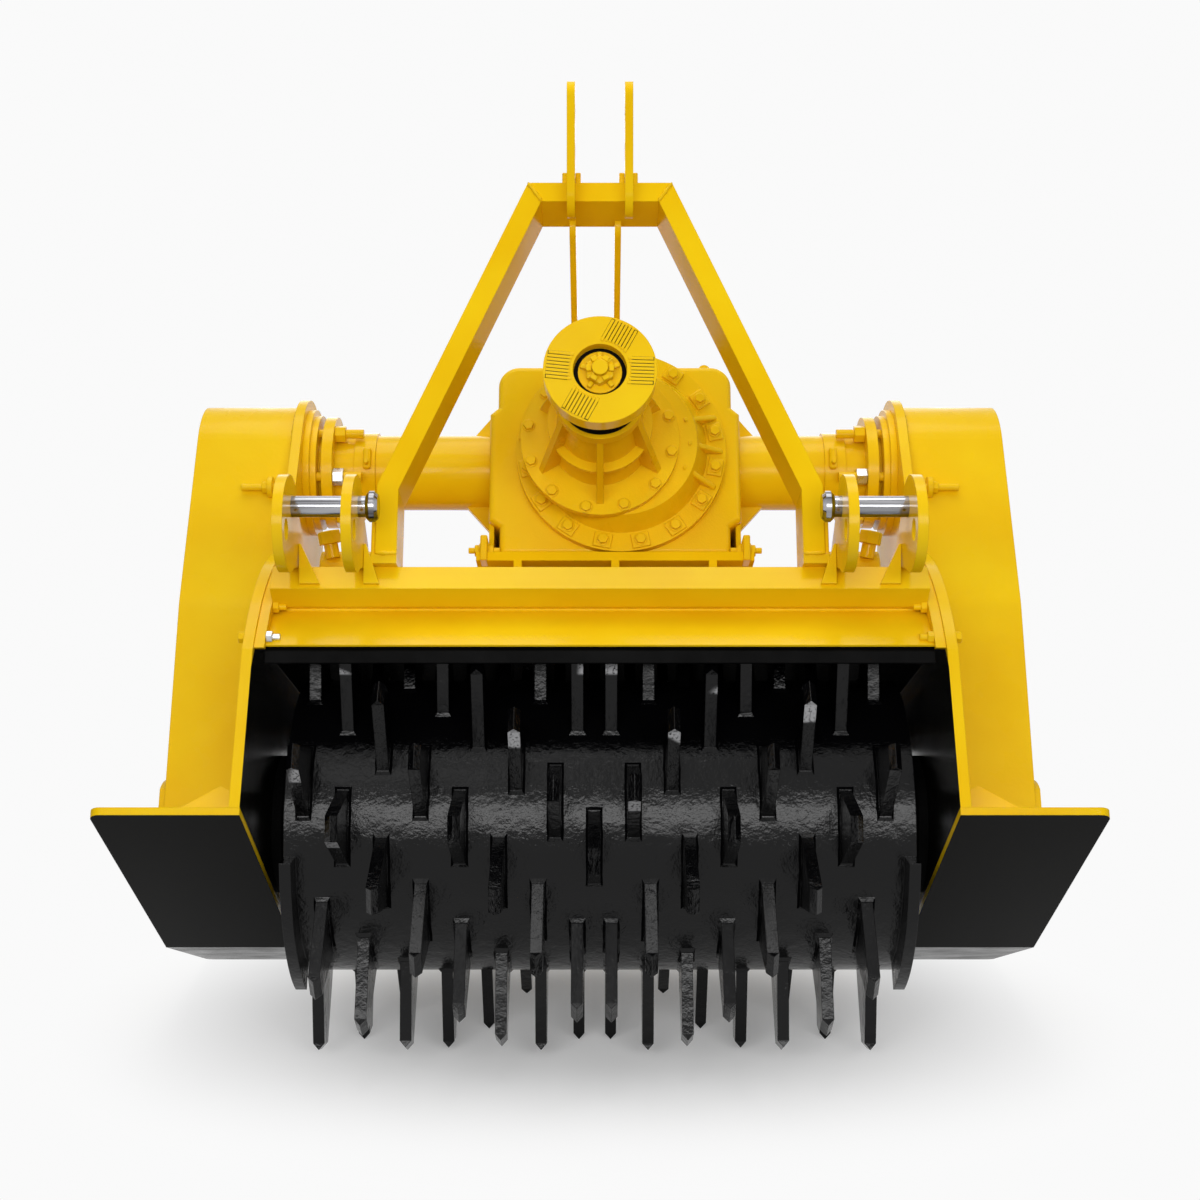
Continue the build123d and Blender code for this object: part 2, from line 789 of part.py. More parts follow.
def make_output_ring():
    """The right stepped ring on the side plate that the output tube's studs pull against."""
    depth = ring_thickness + ring_step_thickness
    gap_end = depth + coupling_gap
    return turned([
        (0, 0), (ring_radius, 0), (ring_radius, ring_thickness), (ring_step_radius, ring_thickness),
        (ring_step_radius, depth), (coupling_radius, depth), (coupling_radius, gap_end), (0, gap_end),
    ], plate_inner, output_y, output_z, (-1, 0, 0))


def hinge_places():
    """The middle of each hinge across the machine."""
    return (-hinge_spread / 2, hinge_spread / 2)


def make_rear_beam():
    """The beam along the hood's rear edge, with the lugs of the door's hinges."""
    face = polygon([
        (rear_beam_y, rear_beam_z), (rear_beam_y + rear_beam_width, rear_beam_z),
        (rear_beam_y + rear_beam_width, rear_beam_z + rear_beam_height),
        (rear_beam_y - rear_beam_width, rear_beam_z + rear_beam_height),
        (rear_beam_y - rear_beam_width, rear_beam_z),
    ]) - Circle(hood_outer)
    face = face.faces().sort_by(SortBy.AREA)[-1]
    beam = across(face, -flange_inner, flange_inner)
    eye = disc(hinge_barrel_radius, hinge_y, hinge_z)
    root = disc(hinge_barrel_radius, rear_beam_y + rear_beam_width / 2, rear_beam_z + rear_beam_height / 2)
    lug_face = (hull(eye, root) - face) - disc(hinge_pin_radius, hinge_y, hinge_z)
    lug_face = lug_face.faces().sort_by(SortBy.AREA)[-1]
    lugs = []
    for middle in hinge_places():
        for sign in (-1, 1):
            x = middle + sign * (hinge_lug_gap + hinge_lug_thickness) / 2
            lugs.append(across(lug_face, x - hinge_lug_thickness / 2, x + hinge_lug_thickness / 2))
    return beam + lugs


def make_hinge_pins():
    """The two pins of the door's hinges."""
    length = hinge_lug_gap + hinge_lug_thickness * 2
    pins = []
    for middle in hinge_places():
        pins.append(turned([
            (0, 0), (hinge_pin_radius, 0), (hinge_pin_radius, length), (0, length),
        ], middle - length / 2, hinge_y, hinge_z, (1, 0, 0)))
    return Compound(children=pins)


def make_door():
    """The rear door: a leaning plate with ribs, a lower lip and the hinge barrels."""
    lean = radians(door_lean)
    down = Vector(sin(lean), -cos(lean))
    back = Vector(cos(lean), sin(lean))
    top = Vector(hinge_y, hinge_z) - back * (door_thickness / 2)
    bottom = top + down * door_height
    plate_face = polygon([top, top + back * door_thickness, bottom + back * door_thickness, bottom])
    lip_start = bottom - down * door_thickness + back * door_thickness
    lip_face = polygon([
        lip_start, lip_start + back * door_lip, lip_start + back * door_lip + down * door_thickness,
        lip_start + down * door_thickness,
    ])
    rib_top = top + back * door_thickness + down * hinge_barrel_radius
    rib_face = polygon([rib_top, lip_start + back * door_rib_depth, lip_start])
    door = across(plate_face + lip_face, -door_half, door_half)
    strap = down * door_strap_length
    room = disc(hinge_barrel_radius + hinge_swing_room, hinge_y, hinge_z)
    door = door - across(room, -door_half, door_half)
    barrel_length = hinge_lug_gap - hinge_side_gap * 2
    bore = hinge_pin_radius + running_clearance
    barrels = []
    for middle in hinge_places():
        x = middle - barrel_length / 2
        solid = across(disc(hinge_barrel_radius, hinge_y, hinge_z) + polygon([
            top, top + back * door_thickness, top + strap + back * door_thickness, top + strap,
        ]), x, x + barrel_length)
        barrels.append(solid)
    ribs = []
    for share in (-1, 0, 1):
        x = share * hinge_spread / 2
        ribs.append(across(rib_face, x - door_rib_thickness / 2, x + door_rib_thickness / 2))
    bores = across(disc(bore, hinge_y, hinge_z), -door_half, door_half)
    return door + [*barrels, *ribs] - bores


def make_parts():
    """Every piece of the machine by its node's name, in the level frame."""
    parts = {
        "rotor": make_rotor(),
        "hood_shell": make_hood_shell(),
        "hood_wear_strip": make_hood_strip(),
        "hood_beam": make_beam(),
        "rear_beam": make_rear_beam(),
        "rear_door": make_door(),
        "door_hinge_pins": make_hinge_pins(),
        "mast_crossbar": make_crossbar(),
        "gearbox_housing": make_gearbox(),
        "gearbox_cradle": make_cradle(),
        "gearbox_cover": make_cover(),
        "pinion_housing": make_pinion_housing(),
        "input_flange": make_input_flange(),
        "input_nut": make_input_nut(),
        "output_tube_right": make_output_tube(tube_right_length),
        "mast_strut_right": make_strut(1),
        "mast_strut_left": make_strut(-1),
        "output_tube_left": mirror(make_output_tube(tube_left_length), about=Plane.YZ),
    }
    parts.update(make_link_plates())
    paired = {
        "rotor_stub": make_stub(),
        "rotor_bearing": make_bearing(),
        "side_plate": make_side_plate(),
        "drive_case": make_case(),
        "skid": make_skid(),
        "skid_gusset": make_skid_gusset(),
        "hood_flange": make_hood_flange(),
        "link_pin": make_link_pin(),
        "mast_leg": make_mast_leg(),
        "mast_base": make_mast_base(),
        "top_link_plate": make_top_plate(),
        "output_ring": make_output_ring(),
    }
    for name, solid in paired.items():
        for side, copy in both_sides(solid).items():
            parts[f"{name}_{side}"] = copy
    return parts


def park(parts):
    """The pieces pitched to the parked pose, with the origin under the middle of the whole machine."""
    pitched = {name: Rot(-park_pitch, 0, 0) * solid for name, solid in parts.items()}
    boxes = [solid.bounding_box() for solid in pitched.values()]
    low = [min(tuple(box.min)[axis] for box in boxes) for axis in range(3)]
    high = [max(tuple(box.max)[axis] for box in boxes) for axis in range(3)]
    shift = Pos(-(low[0] + high[0]) / 2, -(low[1] + high[1]) / 2, -low[2])
    return {name: shift * solid for name, solid in pitched.items()}, shift


def main():
    """Write one STEP file for each piece."""
    os.makedirs("parts", exist_ok=True)
    parked, shift = park(make_parts())
    for name, solid in parked.items():
        export_step(solid, f"parts/{name}.step")
    print("pitch", park_pitch, "shift", shift.position, "pieces", len(parked))


if __name__ == "__main__":
    main()
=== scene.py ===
"""Stump crusher: finishes, fasteners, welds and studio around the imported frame.

New pieces are modelled in the machine's level frame, in metres, with the rotor's axis as the X axis,
-Y towards the tractor and +Z up. Each is then moved to the parked pose, which is read from the frame.
"""
import json
import logging
from dataclasses import dataclass
from enum import Enum
from math import atan2, ceil, cos, degrees, hypot, pi, radians, sin
from typing import Iterable, Sequence

import bmesh
import bpy
from mathutils import Matrix, Vector, noise


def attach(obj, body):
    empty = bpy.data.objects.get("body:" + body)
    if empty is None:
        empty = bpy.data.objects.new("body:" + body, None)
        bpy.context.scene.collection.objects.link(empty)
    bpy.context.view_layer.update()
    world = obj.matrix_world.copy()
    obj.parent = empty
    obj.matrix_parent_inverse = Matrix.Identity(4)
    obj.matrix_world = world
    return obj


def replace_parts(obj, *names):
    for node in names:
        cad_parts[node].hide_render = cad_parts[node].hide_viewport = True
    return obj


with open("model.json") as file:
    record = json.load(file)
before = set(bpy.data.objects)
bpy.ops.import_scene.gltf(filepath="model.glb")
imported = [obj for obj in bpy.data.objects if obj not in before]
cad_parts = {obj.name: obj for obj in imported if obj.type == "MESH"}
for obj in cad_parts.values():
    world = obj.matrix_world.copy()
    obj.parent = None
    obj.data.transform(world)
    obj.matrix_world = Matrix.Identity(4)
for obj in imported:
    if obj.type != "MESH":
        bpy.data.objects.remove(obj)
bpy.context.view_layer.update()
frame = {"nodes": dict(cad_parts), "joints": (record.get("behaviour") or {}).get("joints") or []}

LOG = logging.getLogger("stump_crusher")
FRONT = Vector((0, -1, 0))
RIGHT = Vector((1, 0, 0))
SIDES = (1, -1)

# The height of the input and output shafts, and how far the output is behind the rotor's axis
SHAFT_HEIGHT = 0.749
OUTPUT_Y = 0.155

# Every edge is shaded as if it were rounded by this much, in metres
EDGE_RADIUS = 0.0022
EDGE_SAMPLES = 4

# Vertices closer than this are merged
MERGE_DISTANCE = 1e-6

# A bolt's sizes as shares of its head's radius over the corners
WASHER_HEIGHT_SHARE = 0.22
WASHER_RADIUS_SHARE = 1.22
HEAD_HEIGHT_SHARE = 0.75
HEX_CHAMFER_SHARE = 0.09

# A weld bead's ripples, as shares of its radius, and how fast they follow each other
BEAD_RIPPLE_SHARE = 0.22
BEAD_RIPPLE_TURN = 1.9
BEAD_NOISE_SHARE = 0.3
BEAD_NOISE_SCALE = 60
BEAD_END_SHARE = 0.35

# The middle range of a noise pattern, and the whole range of a share
NOISE_MIDDLE = (0.3, 0.7)
UNIT_RANGE = (0.0, 1.0)

# The vector operations that give a number
MEASURES = ("LENGTH", "DOT_PRODUCT")

Pair = tuple[float, float]
Triple = tuple[float, float, float]
Colour = tuple[float, float, float, float]
Socket = bpy.types.NodeSocket


def joint(name: str) -> dict:
    """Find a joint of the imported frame.

    Args:
        name: The joint's name.

    Returns:
        The joint as the record states it.
    """
    return next(entry for entry in frame["joints"] if entry["name"] == name)


def parked_pitch() -> float:
    """Work out how far the machine is pitched when it is parked.

    Returns:
        The angle in radians, from the direction of the input shaft.
    """
    axis = Vector(joint("input_spin")["axis"])
    return atan2(-axis.z, axis.y)


PITCH = parked_pitch()
PARKED = Matrix.Translation(joint("rotor_spin")["pos_m"]) @ Matrix.Rotation(-PITCH, 4, "X")
ROTOR_AXIS = PARKED.to_translation()


class Lining(Enum):
    """Which part of a painted piece is black instead of yellow."""

    NONE = "none"
    HOOD = "inside the hood's radius"
    PLATE = "inner face, inside the hood's radius"
    UNDERSIDE = "faces that look down"


class Nodes:
    """A node tree under construction, with short calls for its nodes."""

    def __init__(self, tree: bpy.types.NodeTree) -> None:
        """Take over a node tree."""
        self.tree = tree

    def add(self, kind: str, **settings: object) -> bpy.types.Node:
        """Add a node.

        Args:
            kind: The node's type name.
            settings: Values of the node's own properties.

        Returns:
            The new node.
        """
        node = self.tree.nodes.new(kind)
        for key, value in settings.items():
            setattr(node, key, value)
        return node

    def feed(self, target: Socket, value: object) -> None:
        """Link a socket to an input, or set the input.

        Args:
            target: The input.
            value: A socket, or the number, vector or colour that the input gets.
        """
        if isinstance(value, bpy.types.NodeSocket):
            self.tree.links.new(value, target)
        else:
            target.default_value = value

    def math(self, operation: str, first: object, second: object = 0.0) -> Socket:
        """Add a sum, a comparison or the like.

        Args:
            operation: The operation's name.
            first: A socket or a number.
            second: A socket or a number.

        Returns:
            The result.
        """
        node = self.add("ShaderNodeMath", operation=operation)
        for socket, value in zip(node.inputs, (first, second)):
            self.feed(socket, value)
        return node.outputs[0]

    def vector(self, operation: str, first: object, second: object = (0, 0, 0)) -> Socket:
        """Add a vector sum, product or measure.

        Args:
            operation: The operation's name.
            first: A socket or a vector.
            second: A socket or a vector.

        Returns:
            The result, which is a number for a length or a dot product.
        """
        node = self.add("ShaderNodeVectorMath", operation=operation)
        for socket, value in zip(node.inputs, (first, second)):
            self.feed(socket, value)
        return node.outputs["Value" if operation in MEASURES else "Vector"]

    def mapped(self, value: Socket, source: Pair, target: Pair = UNIT_RANGE, smooth: bool = False) -> Socket:
        """Map one range of numbers to another, and hold it at both ends.

        Args:
            value: The numbers.
            source: The range that is mapped.
            target: The range that it becomes.
            smooth: Whether the change eases in and out.

        Returns:
            The mapped numbers.
        """
        node = self.add("ShaderNodeMapRange", interpolation_type="SMOOTHSTEP" if smooth else "LINEAR")
        for name, number in zip(("From Min", "From Max", "To Min", "To Max"), (*source, *target)):
            node.inputs[name].default_value = number
        self.feed(node.inputs["Value"], value)
        return node.outputs["Result"]

    def mix(self, share: Socket, first: object, second: object) -> Socket:
        """Mix two colours.

        Args:
            share: How much of the second colour shows.
            first: A colour or a socket.
            second: A colour or a socket.

        Returns:
            The mixed colour.
        """
        node = self.add("ShaderNodeMix", data_type="RGBA")
        self.feed(node.inputs["Factor"], share)
        for name, value in (("A", first), ("B", second)):
            self.feed(next(s for s in node.inputs if s.name == name and s.type == "RGBA"), value)
        return next(s for s in node.outputs if s.type == "RGBA")

    def axis(self, value: Socket, name: str) -> Socket:
        """Take one axis of a vector.

        Args:
            value: The vector.
            name: The axis, as a capital letter.

        Returns:
            Its number.
        """
        split = self.add("ShaderNodeSeparateXYZ")
        self.feed(split.inputs[0], value)
        return split.outputs[name]


class Shader(Nodes):
    """A surface material under construction."""

    def __init__(self, name: str) -> None:
        """Start a material with only its output and its principled shader.

        Args:
            name: The material's name.
        """
        self.material = bpy.data.materials.new(name)
        self.material.use_nodes = True
        super().__init__(self.material.node_tree)
        self.principled = self.tree.nodes["Principled BSDF"]
        coordinates = self.add("ShaderNodeTexCoord").outputs
        self.place = coordinates["Object"]
        self.normal = coordinates["Normal"]

    def set(self, name: str, value: object) -> None:
        """Set or link one of the surface's inputs."""
        self.feed(self.principled.inputs[name], value)

    def noise(self, scale: float, detail: float = 3.0, roughness: float = 0.5,
              stretch: Triple | None = None) -> Socket:
        """Add a noise pattern on Object coordinates.

        Args:
            scale: Cells per metre.
            detail: Octaves.
            roughness: How strong the fine octaves are.
            stretch: A factor for each axis, small where the pattern is drawn out.

        Returns:
            The pattern's value.
        """
        node = self.add("ShaderNodeTexNoise")
        place = self.vector("MULTIPLY", self.place, stretch) if stretch else self.place
        settings = {"Scale": scale, "Detail": detail, "Roughness": roughness, "Vector": place}
        for name, value in settings.items():
            self.feed(node.inputs[name], value)
        return node.outputs["Fac"]

    def spread(self, pattern: Socket, target: Pair = UNIT_RANGE) -> Socket:
        """Map a noise pattern's middle range to a range of numbers."""
        return self.mapped(pattern, NOISE_MIDDLE, target)

    def rotor_distance(self) -> Socket:
        """Measure the distance from the rotor's axis, in metres."""
        offset = self.vector("SUBTRACT", self.place, ROTOR_AXIS)
        return self.vector("LENGTH", self.vector("MULTIPLY", offset, (0, 1, 1)))

    def leading(self) -> Socket:
        """Measure how squarely a face looks along the rotor's turn.

        Returns:
            One where it leads, minus one where it trails.
        """
        offset = self.vector("SUBTRACT", self.place, ROTOR_AXIS)
        along = self.vector("NORMALIZE", self.vector("CROSS_PRODUCT", RIGHT, offset))
        return self.vector("DOT_PRODUCT", along, self.normal)

    def bump(self, height: Socket, strength: float, distance: float) -> None:
        """Roughen the surface and soften its edges.

        Args:
            height: The pattern that lifts it.
            strength: How much of the bump shows, up to one.
            distance: Its height in metres.
        """
        soft = self.add("ShaderNodeBevel", samples=EDGE_SAMPLES)
        soft.inputs["Radius"].default_value = EDGE_RADIUS
        node = self.add("ShaderNodeBump")
        settings = {"Strength": strength, "Distance": distance, "Height": height, "Normal": soft.outputs[0]}
        for name, value in settings.items():
            self.feed(node.inputs[name], value)
        self.set("Normal", node.outputs["Normal"])


@dataclass(frozen=True)
class Paint:
    """Sprayed gloss paint with a slight peel, which may be black on part of a piece."""

    name: str
    slot: str = "yellow_paint"
    light: Colour = (0.87, 0.575, 0.006, 1)
    deep: Colour = (0.82, 0.49, 0.003, 1)
    lining: Lining = Lining.NONE
    lining_colour: Colour = (0.0045, 0.0043, 0.0036, 1)
    hood_limit: float = 0.441
    inner_face: float = 0.5975
    down_limit: float = -0.5
    reflect: float = 0.09
    gloss: Pair = (0.14, 0.26)
    coat: float = 0.05
    coat_roughness: float = 0.08
    # Noise patterns: cells per metre and octaves
    tone: Pair = (5.0, 3.0)
    sheen: Pair = (11.0, 3.0)
    peel: Pair = (420.0, 2.0)
    peel_strength: float = 0.5
    peel_depth: float = 0.00022

    def lining_mask(self, shader: Shader) -> Socket | None:
        """Find where the black paint is.

        Args:
            shader: The material under construction.

        Returns:
            One where it is black, or None if it is yellow all over.
        """
        if self.lining is Lining.NONE:
            return None
        if self.lining is Lining.UNDERSIDE:
            return shader.math("LESS_THAN", shader.axis(shader.normal, "Z"), self.down_limit)
        inside = shader.math("LESS_THAN", shader.rotor_distance(), self.hood_limit)
        if self.lining is Lining.HOOD:
            return inside
        across = shader.math("ABSOLUTE", shader.axis(shader.place, "X"))
        return shader.math("MULTIPLY", inside, shader.math("LESS_THAN", across, self.inner_face))

    def material(self) -> bpy.types.Material:
        """Build the paint's material.

        Returns:
            The material.
        """
        shader = Shader(self.name)
        tone = shader.mix(shader.spread(shader.noise(*self.tone)), self.light, self.deep)
        coat = self.coat
        mask = self.lining_mask(shader)
        if mask is not None:
            tone = shader.mix(mask, tone, self.lining_colour)
            coat = shader.math("MULTIPLY", shader.math("SUBTRACT", 1.0, mask), coat)
        shader.set("Base Color", tone)
        shader.set("Roughness", shader.spread(shader.noise(*self.sheen), self.gloss))
        shader.set("Specular IOR Level", self.reflect)
        shader.set("Coat Weight", coat)
        shader.set("Coat Roughness", self.coat_roughness)
        shader.bump(shader.noise(*self.peel), self.peel_strength, self.peel_depth)
        return shader.material


@dataclass(frozen=True)
class RotorPaint:
    """Thick black gloss over weld metal, scuffed bright at the teeth's tips."""

    name: str = "rotor_black_gloss"
    slot: str = "rotor_black"
    black: Colour = (0.0015, 0.0015, 0.0018, 1)
    steel: Colour = (0.42, 0.42, 0.43, 1)
    reflect: float = 0.22
    gloss: Pair = (0.05, 0.17)
    # Where wear sets in and where it is full: metres from the axis, lead of the face, two patterns
    wear_reach: Pair = (0.366, 0.372)
    wear_lead: Pair = (0.2, 0.4)
    wear_scuff: Pair = (0.36, 0.5)
    wear_choice: Pair = (0.55, 0.59)
    # Noise patterns: cells per metre, octaves and how strong the fine ones are
    scuff: Triple = (210.0, 5.0, 0.7)
    choice: Triple = (6.0, 1.0, 0.5)
    sheen: Triple = (26.0, 4.0, 0.5)
    runs: Triple = (34.0, 5.0, 0.62)
    grit: Triple = (190.0, 3.0, 0.5)
    grit_share: float = 0.13
    run_strength: float = 0.75
    run_depth: float = 0.0032

    def worn(self, shader: Shader) -> Socket:
        """Find where the paint is worn off.

        Args:
            shader: The material under construction.

        Returns:
            One where the steel shows.
        """
        share = shader.mapped(shader.rotor_distance(), self.wear_reach, smooth=True)
        limited = (
            (shader.noise(*self.scuff), self.wear_scuff),
            (shader.leading(), self.wear_lead),
            (shader.noise(*self.choice), self.wear_choice),
        )
        for value, limits in limited:
            share = shader.math("MULTIPLY", share, shader.mapped(value, limits, smooth=True))
        return share

    def material(self) -> bpy.types.Material:
        """Build the rotor's material.

        Returns:
            The material.
        """
        shader = Shader(self.name)
        shader.set("Base Color", shader.mix(self.worn(shader), self.black, self.steel))
        shader.set("Roughness", shader.spread(shader.noise(*self.sheen), self.gloss))
        shader.set("Specular IOR Level", self.reflect)
        grit = shader.math("MULTIPLY", shader.noise(*self.grit), self.grit_share)
        runs = shader.math("ADD", shader.noise(*self.runs), grit)
        shader.bump(runs, self.run_strength, self.run_depth)
        return shader.material


@dataclass(frozen=True)
class BlackPaint:
    """Plain satin black paint with faint dust spots; the groove copy paints the shadow in the flange's
    grooves, with a brownish shade tone for the spots.
    """

    name: str = "satin_black_paint"
    slot: str = "satin_black"
    black: Colour = (0.003, 0.003, 0.003, 1)
    dust_and_shade: Colour = (0.006, 0.006, 0.006, 1)
    reflect: float = 0.02
    gloss: Pair = (0.42, 0.6)
    # Noise patterns: cells per metre and octaves
    spots: Pair = (14.0, 4.0)
    sheen: Pair = (30.0, 3.0)
    peel: Pair = (330.0, 2.0)
    peel_strength: float = 0.4
    peel_depth: float = 0.0002

    def material(self) -> bpy.types.Material:
        """Build the black paint's material.

        Returns:
            The material.
        """
        shader = Shader(self.name)
        # On the groove shadow this mix paints a brownish shade tone into the black
        dust_and_shade = shader.spread(shader.noise(*self.spots))
        shader.set("Base Color", shader.mix(dust_and_shade, self.black, self.dust_and_shade))
        shader.set("Roughness", shader.spread(shader.noise(*self.sheen), self.gloss))
        shader.set("Specular IOR Level", self.reflect)
        shader.bump(shader.noise(*self.peel), self.peel_strength, self.peel_depth)
        return shader.material


@dataclass(frozen=True)
class Metal:
    """Bare or plated metal with fine scratches, its colour streaked between a tint and a shade; on chrome
    the near-black streaks are painted dark reflections.
    """

    name: str
    slot: str
    # The streaks' two colours; chrome's near-black shade paints dark reflections
    tint: Colour
    shade: Colour
    gloss: Pair
    # How the streaks are drawn out, and noise patterns: cells per metre and octaves. On chrome the streaks
    # are painted dark reflection bands along the pin
    stretch: Triple = (1.0, 1.0, 1.0)
    streaks_and_reflections: Pair = (45.0, 4.0)
    sheen: Pair = (120.0, 4.0)
    scratches: Pair = (700.0, 2.0)
    scratch_strength: float = 0.3
    scratch_depth: float = 0.00005

    def material(self) -> bpy.types.Material:
        """Build the metal's material.

        Returns:
            The material.
        """
        shader = Shader(self.name)
        shader.set("Metallic", 1.0)
        # On chrome these streaks paint dark reflections into the colour
        streaks_and_reflections = shader.spread(shader.noise(*self.streaks_and_reflections, stretch=self.stretch))
        shader.set("Base Color", shader.mix(streaks_and_reflections, self.tint, self.shade))
        shader.set("Roughness", shader.spread(shader.noise(*self.sheen), self.gloss))
        shader.bump(shader.noise(*self.scratches), self.scratch_strength, self.scratch_depth)
        return shader.material


YELLOW = Paint("yellow_gloss_paint")
CAST_YELLOW = Paint("yellow_paint_on_casting", peel=(260.0, 2.0), peel_depth=0.0007, gloss=(0.24, 0.4))
WELD_YELLOW = Paint("yellow_paint_on_weld", peel=(330.0, 2.0), peel_depth=0.0008, gloss=(0.2, 0.34))
CASE_YELLOW = Paint("yellow_case_paint", peel=(150.0, 2.0), peel_depth=0.0005, gloss=(0.22, 0.34))
HOOD_YELLOW = Paint("yellow_outside_black_inside", lining=Lining.HOOD, reflect=0.1)
PLATE_YELLOW = Paint("yellow_plate_black_inside", lining=Lining.PLATE, reflect=0.08)
SKID_YELLOW = Paint("yellow_skid_black_below", lining=Lining.UNDERSIDE, reflect=0.01)
SATIN_YELLOW = Paint("yellow_satin_paint", reflect=0.03, coat=0.0)
SHADED_YELLOW = Paint("yellow_flat_paint", reflect=0.0, coat=0.0)
ROTOR_BLACK = RotorPaint()
BLACK = BlackPaint()
# Painted shadow in the flange's grooves, black mixed with a dark brown shade tone
GROOVE = BlackPaint("groove_shadow", dust_and_shade=(0.05, 0.04, 0.02, 1))
# Chrome's near-black shade, drawn out along the pins, paints dark reflection bands
CHROME = Metal("polished_chrome", "chrome", (0.5, 0.5, 0.52, 1), (0.02, 0.02, 0.025, 1), (0.06, 0.16),
               stretch=(0.05, 1.0, 1.0), streaks_and_reflections=(48.0, 4.0))
ZINC = Metal("zinc_plating", "zinc", (0.74, 0.75, 0.76, 1), (0.42, 0.43, 0.44, 1), (0.22, 0.4))
STEEL = Metal("turned_steel", "machined_steel", (0.56, 0.56, 0.57, 1), (0.42, 0.42, 0.43, 1), (0.25, 0.42))

Finish = Paint | RotorPaint | BlackPaint | Metal

# CAD nodes that aren't in plain yellow, named without their side
NODE_FINISHES: dict[str, Finish] = {
    "rotor": ROTOR_BLACK,
    "rotor_stub": STEEL,
    "rotor_bearing": BLACK,
    "side_plate": PLATE_YELLOW,
    "hood_shell": HOOD_YELLOW,
    "hood_flange": HOOD_YELLOW,
    "hood_wear_strip": BLACK,
    "drive_case": CASE_YELLOW,
    "rear_beam": HOOD_YELLOW,
    "skid": SKID_YELLOW,
    "link_pin": CHROME,
    "door_hinge_pins": ZINC,
    "gearbox_cradle": SHADED_YELLOW,
    "mast_crossbar": SATIN_YELLOW,
    "mast_leg": SATIN_YELLOW,
    "top_link_plate": SATIN_YELLOW,
    "gearbox_housing": CAST_YELLOW,
    "gearbox_cover": CAST_YELLOW,
    "pinion_housing": CAST_YELLOW,
}


class Wardrobe:
    """Every finish as a material, made once."""

    def __init__(self) -> None:
        """Start empty."""
        self.made: dict[Finish, bpy.types.Material] = {}

    def material(self, finish: Finish) -> bpy.types.Material:
        """Give a finish's material.

        Args:
            finish: The finish.

        Returns:
            Its material, made at the first call.
        """
        if finish not in self.made:
            self.made[finish] = finish.material()
        return self.made[finish]

    def dress(self, piece: bpy.types.Object, finish: Finish) -> None:
        """Give a piece one finish all over."""
        piece.data.materials.clear()
        piece.data.materials.append(self.material(finish))


WARDROBE = Wardrobe()


def lift(height: float) -> Matrix:
    """Give the move along a shape's own +Z."""
    return Matrix.Translation((0, 0, height))


def stand(origin: Sequence[float], direction: Vector, turn: float = 0.0) -> Matrix:
    """Work out the move that stands a shape, drawn along +Z, at a place.

    Args:
        origin: Where the shape's foot goes.
        direction: Where its +Z points.
        turn: Its turn about its own axis, in radians.

    Returns:
        The move as a matrix.
    """
    turned = direction.to_track_quat("Z", "Y").to_matrix().to_4x4()
    return Matrix.Translation(origin) @ turned @ Matrix.Rotation(turn, 4, "Z")


def circle_places(count: int, radius: float, offset: float) -> Iterable[Pair]:
    """Give evenly spaced places on a circle.

    Args:
        count: How many.
        radius: The circle's radius.
        offset: The first one's angle in degrees.

    Returns:
        Each place as two coordinates.
    """
    for turn in range(count):
        angle = radians(offset) + turn * 2 * pi / count
        yield radius * cos(angle), radius * sin(angle)


